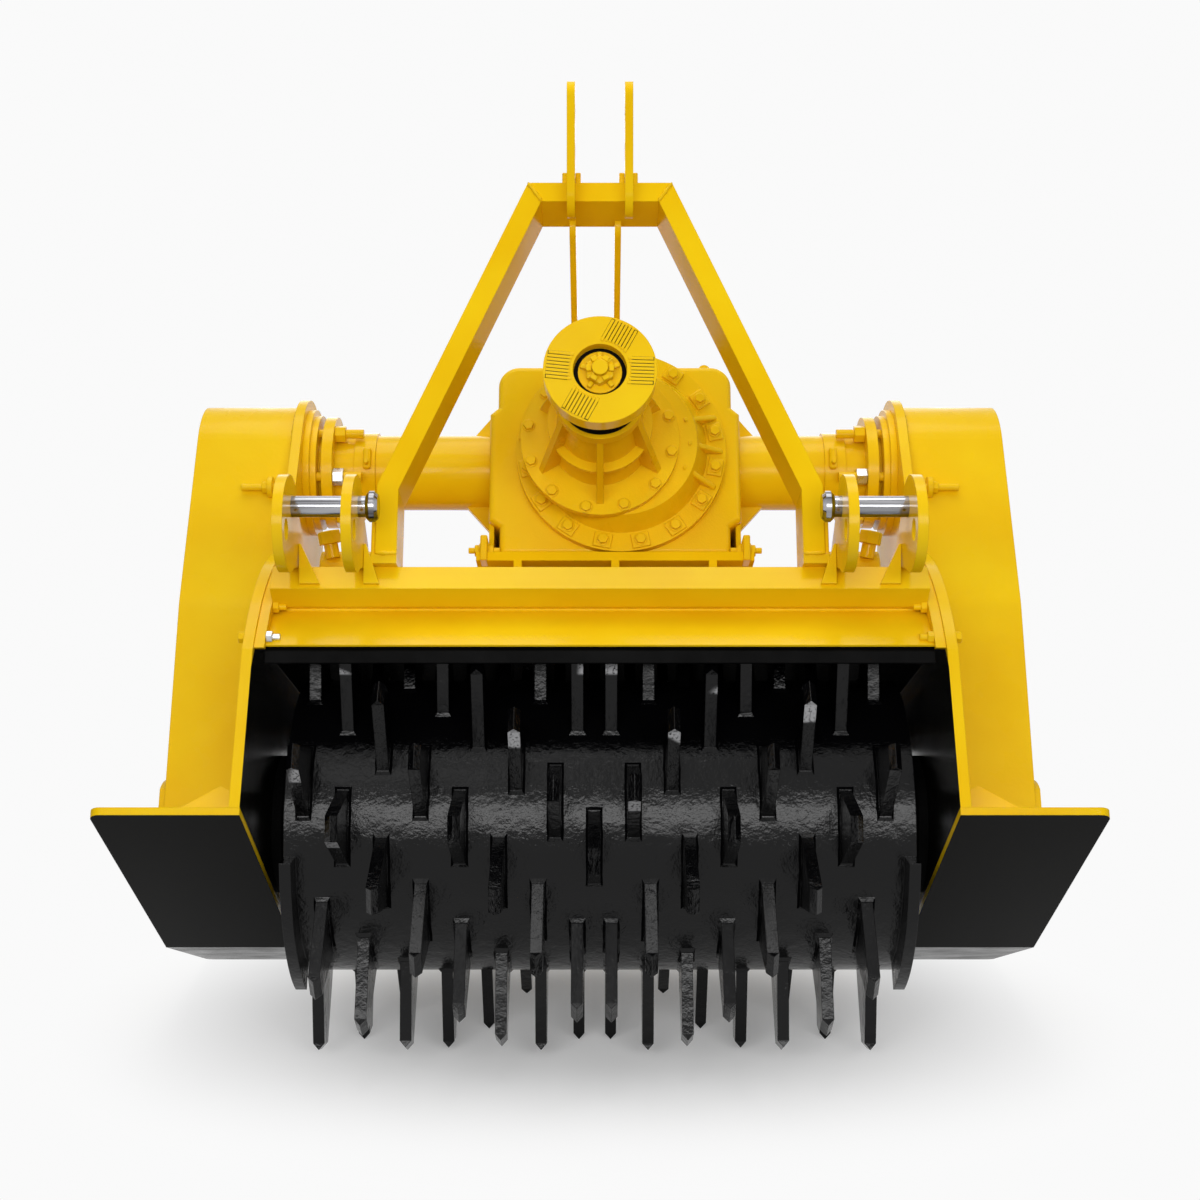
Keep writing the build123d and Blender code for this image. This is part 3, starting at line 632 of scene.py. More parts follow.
class Workpiece:
    """A mesh under construction in the level frame, with calls for the shapes that make it up."""

    def __init__(self) -> None:
        """Start empty."""
        self.mesh = bmesh.new()

    def soften(self, edges: Iterable[bmesh.types.BMEdge], width: float) -> None:
        """Round edges off by a width."""
        bmesh.ops.bevel(self.mesh, geom=list(edges), offset=width, segments=2, profile=0.5,
                        affect="EDGES", material=-1)

    def join(self, part: bmesh.types.BMesh) -> None:
        """Take over the faces of another mesh, which is used up.

        Args:
            part: The other mesh.
        """
        data = bpy.data.meshes.new("part")
        part.to_mesh(data)
        part.free()
        self.mesh.from_mesh(data)
        bpy.data.meshes.remove(data)

    def rod(self, radius: float, length: float, move: Matrix, sides: int = 28,
            chamfer: float = 0.0008) -> None:
        """Add a rod with chamfered ends.

        Args:
            radius: Its radius.
            length: Its length.
            move: Where it stands.
            sides: How many sides approximate its round.
            chamfer: The width of its ends' chamfers.
        """
        made = bmesh.ops.create_cone(self.mesh, cap_ends=True, segments=sides, radius1=radius,
                                     radius2=radius, depth=length, matrix=move @ lift(length / 2))
        caps = {face for vert in made["verts"] for face in vert.link_faces if len(face.verts) == sides}
        self.soften({edge for face in caps for edge in face.edges}, chamfer)

    def hex(self, radius: float, height: float, move: Matrix) -> None:
        """Add a hexagonal head or nut, its radius taken over the corners."""
        self.rod(radius, height, move, sides=6, chamfer=radius * HEX_CHAMFER_SHARE)

    def bolt(self, size: float, move: Matrix) -> None:
        """Add a bolt head on its washer.

        Args:
            size: The head's radius over the corners.
            move: Where it stands.
        """
        washer = size * WASHER_HEIGHT_SHARE
        self.rod(size * WASHER_RADIUS_SHARE, washer, move)
        self.hex(size, size * HEAD_HEIGHT_SHARE, move @ lift(washer))

    def block(self, size: Sequence[float], move: Matrix, edge: float) -> None:
        """Add a block with softened edges.

        Args:
            size: Its three sizes.
            move: Where its middle goes.
            edge: The width of its softened edges.
        """
        made = bmesh.ops.create_cube(self.mesh, size=1.0, matrix=move @ Matrix.Diagonal((*size, 1)))
        self.soften({e for vert in made["verts"] for e in vert.link_edges}, edge)

    def plate(self, corners: Sequence[Sequence[float]], depth: Vector, edge: float) -> None:
        """Add a flat plate from its corners and its thickness.

        Args:
            corners: Its corners, in order round one face.
            depth: The thickness as a direction and length.
            edge: The width of its softened edges.
        """
        outline = [self.mesh.verts.new(corner) for corner in corners]
        face = bmesh.ops.contextual_create(self.mesh, geom=outline)["faces"][0]
        made = bmesh.ops.extrude_face_region(self.mesh, geom=[face], use_keep_orig=True)["geom"]
        verts = [item for item in made if isinstance(item, bmesh.types.BMVert)]
        bmesh.ops.translate(self.mesh, vec=depth, verts=verts)
        self.soften({e for vert in [*verts, *face.verts] for e in vert.link_edges}, edge)

    def bead(self, points: Sequence[Sequence[float]], radius: float, pitch: float = 0.006,
             sides: int = 8) -> None:
        """Add a weld bead: a round section carried along a line, with its ripples.

        Args:
            points: The line's corners.
            radius: The bead's radius.
            pitch: The distance between sections.
            sides: How many sides a section has.
        """
        stops = []
        for start, end in zip(points, points[1:]):
            start, end = Vector(start), Vector(end)
            count = max(1, ceil((end - start).length / pitch))
            stops += [(start.lerp(end, step / count), end - start) for step in range(count)]
        stops.append((Vector(points[-1]), Vector(points[-1]) - Vector(points[-2])))

        def section(index: int) -> Matrix:
            """Work out the section's place and size.

            Args:
                index: The stop's number.

            Returns:
                The move as a matrix.
            """
            place, heading = stops[index]
            ripple = BEAD_RIPPLE_SHARE * sin(index * BEAD_RIPPLE_TURN)
            swell = 1 + ripple + BEAD_NOISE_SHARE * noise.noise(place * BEAD_NOISE_SCALE)
            ends = BEAD_END_SHARE if index in (0, len(stops) - 1) else 1.0
            return stand(place, heading.normalized()) @ Matrix.Scale(swell * ends, 4)

        move = section(0)
        made = bmesh.ops.create_circle(self.mesh, cap_ends=True, radius=radius, segments=sides, matrix=move)
        edges = list({e for vert in made["verts"] for e in vert.link_edges})
        for index in range(1, len(stops)):
            made = bmesh.ops.extrude_edge_only(self.mesh, edges=edges)["geom"]
            verts = [item for item in made if isinstance(item, bmesh.types.BMVert)]
            edges = [item for item in made if isinstance(item, bmesh.types.BMEdge)
                     and all(vert in verts for vert in item.verts)]
            bmesh.ops.transform(self.mesh, matrix=section(index) @ move.inverted(), verts=verts)
            move = section(index)
        bmesh.ops.contextual_create(self.mesh, geom=edges)

    def ring(self, inner: float, outer: float, depth: float, move: Matrix, steps: int = 48) -> None:
        """Add a flat ring by spinning its section round +Z.

        Args:
            inner: Its inner radius.
            outer: Its outer radius.
            depth: Its depth.
            move: Where it stands.
            steps: How many steps make the full turn.
        """
        ring = bmesh.new()
        section = ((inner, 0, 0), (outer, 0, 0), (outer, 0, depth), (inner, 0, depth))
        corners = [ring.verts.new(place) for place in section]
        edges = [ring.edges.new((a, b)) for a, b in zip(corners, corners[1:] + corners[:1])]
        bmesh.ops.spin(ring, geom=corners + edges, cent=(0, 0, 0), axis=(0, 0, 1), angle=2 * pi,
                       steps=steps, use_merge=True)
        bmesh.ops.remove_doubles(ring, verts=ring.verts, dist=MERGE_DISTANCE)
        bmesh.ops.transform(ring, matrix=move, verts=ring.verts)
        self.join(ring)

    def publish(self, name: str, finish: Finish, body: str = "frame",
                smooth: bool = False) -> bpy.types.Object:
        """Make the finished piece, at its parked place.

        Args:
            name: The piece's name.
            finish: Its finish.
            body: The body that it rides on.
            smooth: Whether its faces are shaded smooth.

        Returns:
            The piece.
        """
        bmesh.ops.remove_doubles(self.mesh, verts=self.mesh.verts, dist=MERGE_DISTANCE)
        bmesh.ops.recalc_face_normals(self.mesh, faces=self.mesh.faces)
        bmesh.ops.transform(self.mesh, matrix=PARKED, verts=self.mesh.verts)
        for face in self.mesh.faces:
            face.smooth = smooth
        data = bpy.data.meshes.new(name)
        self.mesh.to_mesh(data)
        self.mesh.free()
        piece = bpy.data.objects.new(name, data)
        bpy.context.scene.collection.objects.link(piece)
        WARDROBE.dress(piece, finish)
        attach(piece, body)
        LOG.info("%s: %d faces", name, len(data.polygons))
        return piece


@dataclass
class GearboxFasteners:
    """Pads, bolts and ribs on the gearbox's cover, the pinion housing's bolts and ring, and an eye."""

    cover_x: float = 0.042
    cover_front_y: float = 0.013
    cover_circle: float = 0.191
    cover_bolts: int = 16
    pinion_front_y: float = -0.055
    pinion_circle: float = 0.143
    pinion_bolts: int = 12
    bolt_offset: float = -11.0
    bolt_size: float = 0.0105
    bolt_turn: float = 40.0
    pad: Triple = (0.030, 0.006, 0.036)
    pad_edge: float = 0.0022
    rib_angles: tuple[float, ...] = (20.0, -1.0, -23.0)
    rib_thickness: float = 0.011
    rib_reach: Pair = (0.132, 0.203)
    rib_height: float = 0.056
    rib_edge: float = 0.003
    # Rings: inner radius, outer radius and depth
    snout_ring: Triple = (0.078, 0.101, 0.012)
    snout_ring_y: float = -0.137
    eye: Triple = (0.005, 0.012, 0.007)
    eye_place: Triple = (0.213, 0.060, 0.936)
    eye_steps: int = 20

    def cover_places(self) -> Iterable[Pair]:
        """Give the cover's bolts that the pinion housing leaves free.

        Returns:
            Each place as two coordinates from the cover's middle.
        """
        for across, up in circle_places(self.cover_bolts, self.cover_circle, self.bolt_offset):
            if hypot(self.cover_x + across, up) >= self.pinion_circle:
                yield across, up

    def pads(self) -> None:
        """Build the raised pads under the cover's bolts."""
        work = Workpiece()
        for across, up in self.cover_places():
            place = (self.cover_x + across, self.cover_front_y - self.pad[1] / 2, SHAFT_HEIGHT + up)
            turn = Matrix.Rotation(-atan2(up, across), 4, "Y")
            work.block(self.pad, Matrix.Translation(place) @ turn, self.pad_edge)
        work.publish("gearbox_cover_pads", CAST_YELLOW)

    def bolts(self) -> None:
        """Build the bolts of both flanges."""
        work = Workpiece()
        pinion = circle_places(self.pinion_bolts, self.pinion_circle, self.bolt_offset)
        circles = (
            (self.cover_x, self.cover_front_y - self.pad[1], self.cover_places()),
            (0.0, self.pinion_front_y, pinion),
        )
        for middle, front, places in circles:
            for across, up in places:
                place = (middle + across, front, SHAFT_HEIGHT + up)
                work.bolt(self.bolt_size, stand(place, FRONT, across * self.bolt_turn))
        work.publish("gearbox_cover_bolts", CAST_YELLOW)

    def ribs(self) -> None:
        """Build the ribs on the cover's dome."""
        work = Workpiece()
        middle = Vector((self.cover_x, self.cover_front_y, SHAFT_HEIGHT))
        for angle in self.rib_angles:
            out = Vector((cos(radians(angle)), 0, sin(radians(angle))))
            side = Vector((-out.z, 0, out.x)) * self.rib_thickness
            inner, outer = (middle - side / 2 + out * reach for reach in self.rib_reach)
            corners = [inner, outer, outer + FRONT * self.rib_thickness / 2, inner + FRONT * self.rib_height]
            work.plate(corners, side, self.rib_edge)
        work.publish("gearbox_cover_ribs", CAST_YELLOW)

    def rings(self) -> None:
        """Build the ring between the snout's ribs and the small lifting eye on the housing."""
        work = Workpiece()
        work.ring(*self.snout_ring, stand((0, self.snout_ring_y, SHAFT_HEIGHT), FRONT))
        work.ring(*self.eye, stand(self.eye_place, FRONT), self.eye_steps)
        work.publish("gearbox_ring_and_eye", CAST_YELLOW)

    def build(self) -> None:
        """Build all of it."""
        self.pads()
        self.bolts()
        self.ribs()
        self.rings()


@dataclass
class GearboxFeet:
    """The clamped lugs at the gearbox's lower front corners."""

    corners: Pair = (-0.229, 0.289)
    y: float = 0.03
    z: float = 0.545
    lug: Triple = (0.014, 0.05, 0.052)
    lug_edge: float = 0.003
    bolt_size: float = 0.012
    stud: Pair = (0.006, 0.062)

    def build(self) -> None:
        """Build both lugs, each with a stud and a bolt on both faces."""
        work = Workpiece()
        for x in self.corners:
            middle = Vector((x, self.y, self.z))
            outward = RIGHT * (1 if x > 0 else -1)
            work.block(self.lug, Matrix.Translation(middle), self.lug_edge)
            work.rod(*self.stud, stand(middle - outward * self.stud[1] / 2, outward))
            for way in (outward, -outward):
                work.bolt(self.bolt_size, stand(middle + way * self.lug[0] / 2, way))
        work.publish("gearbox_foot_lugs", CAST_YELLOW)


@dataclass
class DriveFlangeDetail:
    """The cross serrations of the companion flange, with painted shadow in their grooves, its castellated
    nut, and two black rings: one painted as the shadow round the nut's seat, one on the pinion housing's
    collar.
    """

    front_y: float = -0.417
    recess: float = 0.020
    # The serrated groups: from and to which radius, and the ridges and the dark beds in them, which paint
    # the shadow between the ridges
    inner: float = 0.054
    outer: float = 0.097
    group_angles: tuple[float, ...] = (-2.0, 62.0, 174.0, 242.0)
    ridge_count: int = 8
    ridge_pitch: float = 0.0066
    ridge_width: float = 0.0054
    ridge_height: float = 0.0012
    ridge_edge: float = 0.0003
    bed_share: float = 0.93
    bed_height: float = 0.0003
    bed_edge: float = 0.0001
    # Rings: inner radius, outer radius and depth
    # The seat's ring paints the shadow in the gap between the nut's seat and the recess
    seat_shadow_ring: Triple = (0.0385, 0.0472, 0.0012)
    collar_ring: Triple = (0.066, 0.0755, 0.004)
    collar_y: float = -0.283
    # Rods and the nut: radius and length
    washer: Pair = (0.0395, 0.005)
    nut: Pair = (0.0275, 0.016)
    spigot: Pair = (0.0145, 0.032)
    cotter: Pair = (0.0019, 0.058)
    cotter_turn: float = 40.0
    cotter_sides: int = 12
    cotter_chamfer: float = 0.0004
    # The nut's castles and the washer's tabs: how many, on which radius, from which angle
    castles: tuple[int, float, float] = (6, 0.0205, 0.0)
    castle: Triple = (0.009, 0.0114, 0.007)
    castle_edge: float = 0.0008
    tabs: tuple[int, float, float] = (5, 0.0305, 20.0)
    tab: Triple = (0.011, 0.008, 0.009)
    tab_edge: float = 0.001

    def serrations(self) -> None:
        """Build the ridges and the dark beds between them, which paint the shadow in the grooves."""
        ridges, beds = Workpiece(), Workpiece()
        base = stand((0, self.front_y, SHAFT_HEIGHT), FRONT)
        half = (self.ridge_count - 1) / 2
        bed_size = ((self.outer - self.inner) * self.bed_share, self.ridge_pitch * self.ridge_count,
                    self.bed_height)
        for angle in self.group_angles:
            group = base @ Matrix.Rotation(radians(angle), 4, "Z")
            for index in range(self.ridge_count):
                side = (index - half) * self.ridge_pitch
                start, reach = ((radius ** 2 - side ** 2) ** 0.5 for radius in (self.inner, self.outer))
                middle = Matrix.Translation(((start + reach) / 2, side, self.ridge_height / 2))
                size = (reach - start, self.ridge_width, self.ridge_height)
                ridges.block(size, group @ middle, self.ridge_edge)
            middle = Matrix.Translation(((self.inner + self.outer) / 2, 0, self.bed_height / 2))
            beds.block(bed_size, group @ middle, self.bed_edge)
        ridges.publish("drive_flange_serrations", YELLOW, "input")
        beds.publish("drive_flange_grooves", GROOVE, "input")

    def castle_nut(self) -> None:
        """Build the washer, the slotted nut, the shaft's end and the cotter pin."""
        work = Workpiece()
        seat = stand((0, self.front_y + self.recess, SHAFT_HEIGHT), FRONT)
        nut_seat = seat @ lift(self.washer[1])
        crown = nut_seat @ lift(self.nut[1] + self.castle[2] / 2)
        work.rod(*self.washer, seat)
        work.hex(*self.nut, nut_seat)
        circles = (
            (crown, self.castles, self.castle, self.castle_edge),
            (nut_seat @ lift(self.tab[2] / 2), self.tabs, self.tab, self.tab_edge),
        )
        for level, circle, size, edge in circles:
            for across, up in circle_places(*circle):
                turn = Matrix.Rotation(atan2(up, across), 4, "Z")
                work.block(size, level @ Matrix.Translation((across, up, 0)) @ turn, edge)
        work.rod(*self.spigot, seat)
        pin = crown @ Matrix.Rotation(radians(self.cotter_turn), 4, "Z") @ Matrix.Rotation(pi / 2, 4, "Y")
        work.rod(*self.cotter, pin @ lift(-self.cotter[1] / 2), self.cotter_sides, self.cotter_chamfer)
        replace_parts(work.publish("input_castle_nut", YELLOW, "input"), "input_nut")

    def black_rings(self) -> None:
        """Build the black ring round the nut's seat, which paints the shadow in the recess's gap, and the
        black ring on the pinion housing's collar.
        """
        seat, collar = Workpiece(), Workpiece()
        # This black ring paints the shadow in the gap round the nut's seat
        seat.ring(*self.seat_shadow_ring, stand((0, self.front_y + self.recess, SHAFT_HEIGHT), FRONT))
        seat.publish("input_seat_shadow_ring", BLACK, "input")
        collar.ring(*self.collar_ring, stand((0, self.collar_y, SHAFT_HEIGHT), FRONT))
        collar.publish("pinion_collar_black_ring", BLACK)

    def build(self) -> None:
        """Build all of it."""
        self.serrations()
        self.castle_nut()
        self.black_rings()


@dataclass
class OutputFasteners:
    """The studs and nuts that hold the output tubes' flanges, and the lug on each tube's collar."""

    flange_inner_x: float = 0.540
    stud_from_x: float = 0.597
    stud_end_x: float = 0.482
    stud_radius: float = 0.0095
    circle: float = 0.0965
    angles: tuple[float, ...] = (143.0, 203.0, 263.0, 323.0, 23.0)
    nut: Pair = (0.0175, 0.022)
    nut_turn: float = 0.35
    bright_index: int = 1
    lug: Triple = (0.016, 0.014, 0.046)
    lug_place: Triple = (0.473, 0.070, 0.752)
    lug_edge: float = 0.005
    screw: Pair = (0.0045, 0.012)
    screw_drop: float = 0.0115

    def lugs(self) -> None:
        """Build the rounded lug with its small screw on each tube's collar."""
        work = Workpiece()
        x, y, z = self.lug_place
        for side in SIDES:
            work.block(self.lug, Matrix.Translation((side * x, y, z)), self.lug_edge)
            screw = (side * x, y - self.lug[1] / 2, z - self.screw_drop)
            work.rod(*self.screw, stand(screw, FRONT))
        work.publish("output_collar_lugs", YELLOW)

    def build(self) -> None:
        """Build the lugs, and the studs and nuts on both sides."""
        painted, bright = Workpiece(), Workpiece()
        for side in SIDES:
            inward = RIGHT * -side
            for index, angle in enumerate(self.angles):
                y = OUTPUT_Y + self.circle * cos(radians(angle))
                z = SHAFT_HEIGHT + self.circle * sin(radians(angle))
                root = (side * self.stud_from_x, y, z)
                painted.rod(self.stud_radius, self.stud_from_x - self.stud_end_x, stand(root, inward))
                work = bright if index == self.bright_index else painted
                seat = (side * self.flange_inner_x, y, z)
                work.hex(*self.nut, stand(seat, inward, index * self.nut_turn))
        self.lugs()
        painted.publish("output_studs_and_nuts", YELLOW)
        bright.publish("output_bright_nuts", ZINC)


@dataclass
class HoodFasteners:
    """The bolts through the hood's end plates, with the nuts on the inner faces."""

    inner_x: float = 0.579
    outer_x: float = 0.616
    places: tuple[Pair, ...] = ((-0.3040, 0.3440), (-0.3530, 0.2770))
    nut: Pair = (0.0108, 0.011)
    nut_turn: float = 0.5
    stud: Pair = (0.006, 0.024)
    bright_place: int = 1

    def build(self) -> None:
        """Build the nuts and bolts' ends on both sides, and one outer nut a side at the last place."""
        painted, bright = Workpiece(), Workpiece()
        for side in SIDES:
            for index, place in enumerate(self.places):
                work = bright if index == self.bright_place and side < 0 else painted
                move = stand((side * self.inner_x, *place), RIGHT * -side, index * self.nut_turn)
                work.hex(*self.nut, move)
                work.rod(*self.stud, move)
            painted.hex(*self.nut, stand((side * self.outer_x, *self.places[-1]), RIGHT * side))
        painted.publish("hood_flange_nuts", YELLOW)
        bright.publish("hood_flange_bright_nut", ZINC)


@dataclass
class LinkageDetail:
    """Gussets and clamp bolts at the lower linkage plates, and the latch studs on the side plates."""

    gusset_y: float = -0.352
    gusset_thickness: float = 0.018
    gusset_low_z: float = 0.374
    gusset_top_z: float = 0.447
    gusset_tip: float = 0.004
    gusset_edge: float = 0.001
    # Each gusset: the plate's face that it leans on, how far it leans and its width at the foot
    faces: tuple[Triple, ...] = ((0.531, 0.004, 0.036), (0.416, 0.001, 0.028))
    tube_ends: Pair = (0.400, 0.5125)
    tube_radius: float = 0.034
    tube_place: Pair = (-0.196, 0.442)
    tube_sides: int = 40
    tube_chamfer: float = 0.003
    clamp: Pair = (0.021, 0.024)
    clamp_barrel: Pair = (0.013, 0.026)
    clamp_place: Triple = (0.492, -0.236, 0.480)
    clamp_heading: Triple = (-0.2, 0.25, -1.0)
    latch_place: Pair = (-0.010, 0.664)
    stud_from_x: float = 0.616
    stud: Pair = (0.007, 0.092)
    latch_x: float = 0.645
    latch: Pair = (0.021, 0.010)
    nut: Pair = (0.012, 0.012)

    def gussets(self) -> None:
        """Build the leaning gussets between the plates and the beam's front."""
        work = Workpiece()
        for side in SIDES:
            for face_x, lean, width in self.faces:
                outline = (
                    (face_x - lean, self.gusset_low_z),
                    (face_x, self.gusset_top_z),
                    (face_x - self.gusset_tip, self.gusset_top_z),
                    (face_x - lean - width, self.gusset_low_z),
                )
                corners = [(side * x, self.gusset_y, z) for x, z in outline]
                work.plate(corners, Vector((0, self.gusset_thickness, 0)), self.gusset_edge)
        work.publish("link_plate_gussets", YELLOW)

    def clamps(self) -> None:
        """Build the cross tubes behind the brackets, each with its large clamp bolt."""
        work = Workpiece()
        inner, outer = self.tube_ends
        for side in SIDES:
            root = stand((side * outer, *self.tube_place), RIGHT * -side)
            work.rod(self.tube_radius, outer - inner, root, self.tube_sides, self.tube_chamfer)
            head, heading = (Vector((side * x, y, z)) for x, y, z in (self.clamp_place, self.clamp_heading))
            heading.normalize()
            work.hex(*self.clamp, stand(head, -heading))
            work.rod(*self.clamp_barrel, stand(head, heading))
        work.publish("linkage_clamp_bolts", YELLOW)

    def latches(self) -> None:
        """Build the studs on the side plates, each with its round latch and nut."""
        work = Workpiece()
        for side in SIDES:
            shapes = (
                (work.rod, self.stud, self.stud_from_x),
                (work.rod, self.latch, self.latch_x),
                (work.hex, self.nut, self.latch_x + self.latch[1]),
            )
            for add, size, x in shapes:
                add(*size, stand((side * x, *self.latch_place), RIGHT * side))
        work.publish("side_plate_latches", YELLOW)

    def build(self) -> None:
        """Build all of it."""
        self.gussets()
        self.clamps()
        self.latches()


@dataclass
class MastDetail:
    """The doublers beside the top link plates, and the plates beside the mast's feet."""

    top_z: float = 1.147
    plate_faces: Pair = (0.046, 0.061)
    doubler: Triple = (0.010, 0.060, 0.034)
    doubler_y: float = -0.296
    foot_plate: Triple = (0.008, 0.090, 0.088)
    foot_place: Triple = (0.400, -0.301, 0.473)
    edge: float = 0.002

    def build(self) -> None:
        """Build the plate on each foot's outer side, and the doublers on both sides of both plates."""
        feet, doublers = Workpiece(), Workpiece()
        width, _, height = self.doubler
        x, y, z = self.foot_place
        inner, outer = self.plate_faces
        for side in SIDES:
            feet.block(self.foot_plate, Matrix.Translation((side * x, y, z)), self.edge)
            for across in (inner - width / 2, outer + width / 2):
                middle = (side * across, self.doubler_y, self.top_z + height / 2)
                doublers.block(self.doubler, Matrix.Translation(middle), self.edge)
        feet.publish("mast_foot_plates", YELLOW)
        doublers.publish("top_link_doublers", YELLOW)


@dataclass
class WeldSeams:
    """The weld beads that show on the frame."""

    bead: float = 0.0036
    half_width: float = 0.577
    hood_seam: Pair = (-0.2845, 0.3435)
    case_x: float = 0.6175
    # The drive case's two rounds: middle and radius, and the angles from which to which a bead runs
    case_rounds: tuple[Triple, ...] = ((OUTPUT_Y, SHAFT_HEIGHT, 0.135), (0.100, 0.400, 0.150))
    case_angles: tuple[tuple[int, int], ...] = ((92, 186), (186, 190))
    case_step: int = 6
    mast_front: float = -0.3505
    mast_corner: tuple[Pair, Pair] = ((0.134, 1.147), (0.108, 1.109))
    mast_foot: Pair = (0.358, 0.396)
    mast_foot_z: float = 0.4295
    link_faces: tuple[float, ...] = (0.416, 0.434, 0.531, 0.549)
    link_seam: Pair = (-0.322, -0.225)
    link_z: float = 0.4120

    def lines(self) -> Iterable[list[Triple]]:
        """Give each seam's line.

        Returns:
            Its points, in order.
        """
        yield [(-self.half_width, *self.hood_seam), (self.half_width, *self.hood_seam)]
        for side in SIDES:
            rounds = []
            for (y, z, radius), (first, last) in zip(self.case_rounds, self.case_angles):
                for angle in range(first, last + 1, self.case_step):
                    turn = radians(angle)
                    rounds.append((side * self.case_x, y + radius * cos(turn), z + radius * sin(turn)))
            yield rounds
            yield [(side * x, self.mast_front, z) for x, z in self.mast_corner]
            yield [(side * x, self.mast_front, self.mast_foot_z) for x in self.mast_foot]
            for x in self.link_faces:
                yield [(side * x, y, self.link_z) for y in self.link_seam]

    def build(self) -> None:
        """Build every seam as one piece."""
        work = Workpiece()
        for line in self.lines():
            work.bead(line, self.bead)
        work.publish("frame_weld_seams", WELD_YELLOW, smooth=True)


@dataclass
class RotorWelds:
    """The weld collars round the feet of the rotor's teeth."""

    drum_radius: float = 0.270
    drum_end: float = 0.550
    foot: float = 0.130
    thickness: float = 0.021
    spread: float = 0.009
    height: float = 0.010
    row_pitch: float = 0.068
    row_inset: float = 0.030
    rows_per_turn: int = 21
    offset: float = -0.010
    straddles: tuple[int, ...] = (0, 1, 1, 0, 1, 0, 1)
    rest_row: int = 6
    cuts: int = 5
    waviness: float = 0.12
    # How fast the waves follow each other, across the rotor and along a tooth
    wave_scale: Pair = (40.0, 60.0)

    def places(self) -> Iterable[Pair]:
        """Give each tooth's place.

        Returns:
            Its place across the rotor, and its angle above the forward horizontal in degrees.
        """
        row_angle = 360 / self.rows_per_turn
        down = -90 - degrees(PITCH)
        reach = self.drum_end - self.thickness
        for start, straddle in enumerate(self.straddles):
            inset = self.row_inset * straddle
            for row in range(int((reach - inset) // self.row_pitch) + 1):
                across = inset + row * self.row_pitch
                angle = down + self.rest_row * row_angle - start * 360 / len(self.straddles)
                angle += (across - self.row_inset) / self.row_pitch * row_angle
                for side in SIDES if across else SIDES[:1]:
                    yield side * across + self.offset, angle

    def collar(self, x: float, angle: float) -> bmesh.types.BMesh:
        """Build one collar, bent to the drum.

        Args:
            x: Its place across the rotor.
            angle: Its angle above the forward horizontal, in degrees.

        Returns:
            The collar's mesh.
        """
        size = (self.thickness + self.spread * 2, self.foot + self.spread * 2, self.height, 1)
        collar = bmesh.new()
        bmesh.ops.create_cube(collar, size=1.0, matrix=Matrix.Diagonal(size))
        top = [vert for vert in collar.verts if vert.co.z > 0]
        squeeze = Matrix.Diagonal((self.thickness / size[0], self.foot / size[1], 1, 1))
        bmesh.ops.transform(collar, matrix=squeeze, verts=top)
        long_edges = [edge for edge in collar.edges
                      if abs(edge.verts[0].co.y - edge.verts[1].co.y) > self.foot / 2]
        bmesh.ops.subdivide_edges(collar, edges=long_edges, cuts=self.cuts, use_grid_fill=True)
        across, along = self.wave_scale
        for vert in collar.verts:
            height = self.drum_radius + vert.co.z
            wave = 1 + self.waviness * noise.noise(Vector((x * across, vert.co.y * along, angle)))
            vert.co = Vector((vert.co.x * wave, vert.co.y, (height ** 2 - vert.co.y ** 2) ** 0.5))
        turn = Matrix.Rotation(radians(90 - angle), 4, "X")
        bmesh.ops.transform(collar, matrix=Matrix.Translation((x, 0, 0)) @ turn, verts=collar.verts)
        return collar

    def build(self) -> None:
        """Build every collar as one piece."""
        work = Workpiece()
        for x, angle in self.places():
            work.join(self.collar(x, angle))
        work.publish("rotor_tooth_welds", ROTOR_BLACK, "rotor")


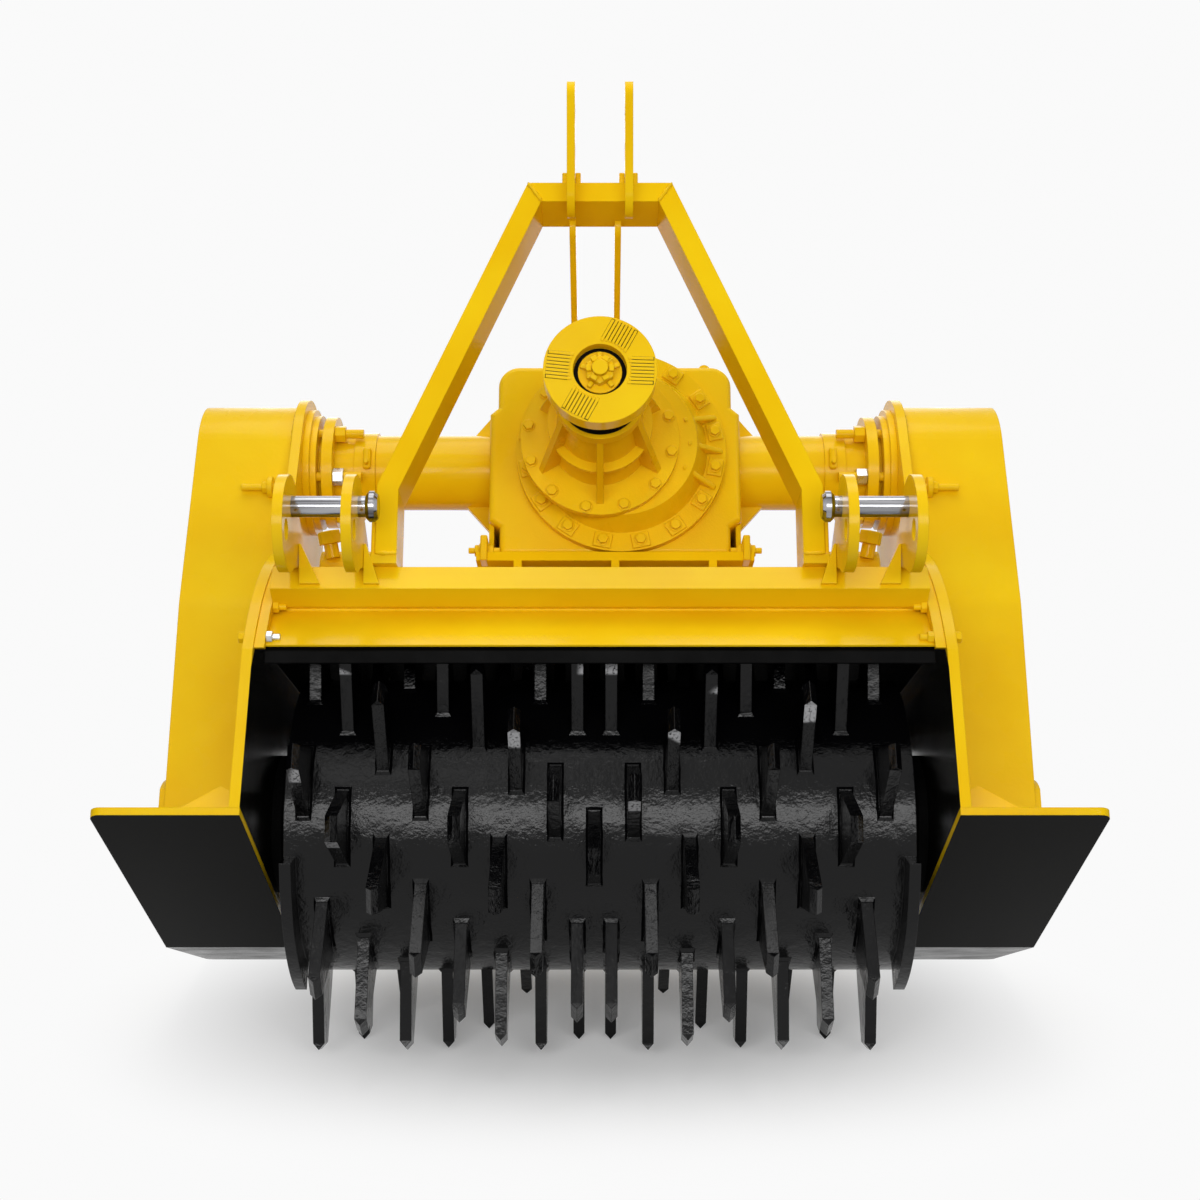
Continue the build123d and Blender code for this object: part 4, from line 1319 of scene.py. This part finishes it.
@dataclass
class Studio:
    """The pale floor, the soft lights and the camera at the photograph's angle."""

    camera_fall: float = 7.01
    camera_distance: float = 3.396
    camera_drop: float = -0.422
    lens: float = 54.0
    sensor: float = 36.0
    backdrop: Colour = (0.955, 0.955, 0.955, 1)
    ambient: float = 0.22
    floor_size: float = 60.0
    floor_colour: Colour = (0.84, 0.84, 0.84, 1)
    floor_roughness: float = 0.9
    floor_lift: float = 0.2
    # Where the floor starts and ends to fade into the backdrop, and how each axis is weighed there
    fade: Pair = (0.25, 1.0)
    fade_shape: Triple = (0.9, 1.3, 1.0)
    aim: Triple = (0.0, 0.0, 0.7)
    # Each light: place, width, height and power in watts
    lights: tuple[tuple[Triple, float, float, float], ...] = (
        ((0.0, -3.9, 1.9), 5.0, 1.1, 112.0),
        ((-1.2, -3.0, 4.2), 2.4, 1.2, 8.0),
        ((3.4, -1.6, 3.0), 2.0, 2.0, 12.0),
        ((-0.2, 0.2, 4.6), 3.0, 3.0, 84.0),
        ((0.0, 3.6, 2.4), 3.0, 2.0, 22.0),
    )

    @staticmethod
    def strength(nodes: Nodes, low: float, high: float) -> Socket:
        """Give the rays that the camera, a mirror or glass sends out another strength than the rest.

        Args:
            nodes: The nodes that ask.
            low: The strength for the rest.
            high: The strength for those rays.

        Returns:
            The strength.
        """
        path = nodes.add("ShaderNodeLightPath").outputs
        mirrored = nodes.math("MAXIMUM", path["Is Glossy Ray"], path["Is Transmission Ray"])
        direct = nodes.math("MAXIMUM", path["Is Camera Ray"], mirrored)
        return nodes.mapped(direct, UNIT_RANGE, (low, high))

    def world(self) -> None:
        """Make a white background that lights the machine more dimly."""
        world = bpy.data.worlds.new("studio")
        bpy.context.scene.world = world
        world.use_nodes = True
        nodes = Nodes(world.node_tree)
        shade = nodes.tree.nodes["Background"]
        nodes.feed(shade.inputs["Color"], self.backdrop)
        nodes.feed(shade.inputs["Strength"], self.strength(nodes, self.ambient, 1.0))

    def glow(self, shader: Shader, low: float, high: float) -> Socket:
        """Add a glow of the backdrop's colour.

        Args:
            shader: The material that gets it.
            low: Its strength for most rays.
            high: Its strength for rays from the camera, a mirror or glass.

        Returns:
            The glow's shader.
        """
        node = shader.add("ShaderNodeEmission")
        shader.feed(node.inputs["Color"], self.backdrop)
        shader.feed(node.inputs["Strength"], self.strength(shader, low, high))
        return node.outputs[0]

    def floor_material(self) -> bpy.types.Material:
        """Build the floor's material, which fades into the backdrop but keeps the machine's shadow.

        Returns:
            The material.
        """
        shader = Shader("studio_floor")
        shader.set("Base Color", self.floor_colour)
        shader.set("Roughness", self.floor_roughness)
        shader.set("Specular IOR Level", 0.0)
        near = shader.add("ShaderNodeAddShader")
        shader.feed(near.inputs[0], shader.principled.outputs[0])
        shader.feed(near.inputs[1], self.glow(shader, 0.0, self.floor_lift))
        distance = shader.vector("LENGTH", shader.vector("MULTIPLY", shader.place, self.fade_shape))
        share = shader.mapped(distance, self.fade, smooth=True)
        far = self.glow(shader, self.ambient, 1.0)
        both = shader.add("ShaderNodeMixShader")
        for socket, source in zip(both.inputs, (share, near.outputs[0], far)):
            shader.feed(socket, source)
        shader.feed(shader.tree.nodes["Material Output"].inputs["Surface"], both.outputs[0])
        return shader.material

    def floor(self) -> None:
        """Make the floor."""
        mesh = bmesh.new()
        bmesh.ops.create_grid(mesh, x_segments=1, y_segments=1, size=self.floor_size / 2)
        data = bpy.data.meshes.new("studio_floor")
        mesh.to_mesh(data)
        mesh.free()
        data.materials.append(self.floor_material())
        floor = bpy.data.objects.new("studio_floor", data)
        bpy.context.scene.collection.objects.link(floor)

    def lamps(self) -> None:
        """Make the soft lights, each turned to the machine."""
        for index, (place, width, height, power) in enumerate(self.lights):
            light = bpy.data.lights.new(f"soft_light_{index}", "AREA")
            light.shape = "RECTANGLE"
            light.size = width
            light.size_y = height
            light.energy = power
            lamp = bpy.data.objects.new(light.name, light)
            lamp.location = place
            aim = Vector(self.aim) - Vector(place)
            lamp.rotation_euler = aim.to_track_quat("-Z", "Y").to_euler()
            bpy.context.scene.collection.objects.link(lamp)

    def camera(self) -> None:
        """Stand the camera where the photograph's was."""
        fall = radians(self.camera_fall)
        ahead = Vector((0, cos(fall), -sin(fall)))
        above = Vector((0, sin(fall), cos(fall)))
        data = bpy.data.cameras.new("camera")
        data.lens = self.lens
        data.sensor_width = self.sensor
        camera = bpy.data.objects.new("camera", data)
        camera.location = ROTOR_AXIS - ahead * self.camera_distance - above * self.camera_drop
        camera.rotation_euler = (pi / 2 - fall, 0, 0)
        bpy.context.scene.collection.objects.link(camera)
        bpy.context.scene.camera = camera

    def build(self) -> None:
        """Build the whole studio."""
        self.world()
        self.floor()
        self.lamps()
        self.camera()
        bpy.context.scene.view_settings.view_transform = "Standard"


def dress_frame() -> None:
    """Give every CAD node its finish, plain yellow where no other is named."""
    for name, node in frame["nodes"].items():
        stem = name.removesuffix("_left").removesuffix("_right")
        WARDROBE.dress(node, NODE_FINISHES.get(stem, YELLOW))


def main() -> None:
    """Build the scene in order."""
    logging.basicConfig(level=logging.INFO, format="%(message)s")
    dress_frame()
    for assembly in (GearboxFasteners(), GearboxFeet(), DriveFlangeDetail(), OutputFasteners(),
                     HoodFasteners(), LinkageDetail(), MastDetail(), WeldSeams(), RotorWelds(), Studio()):
        assembly.build()


if __name__ == "__main__":
    main()
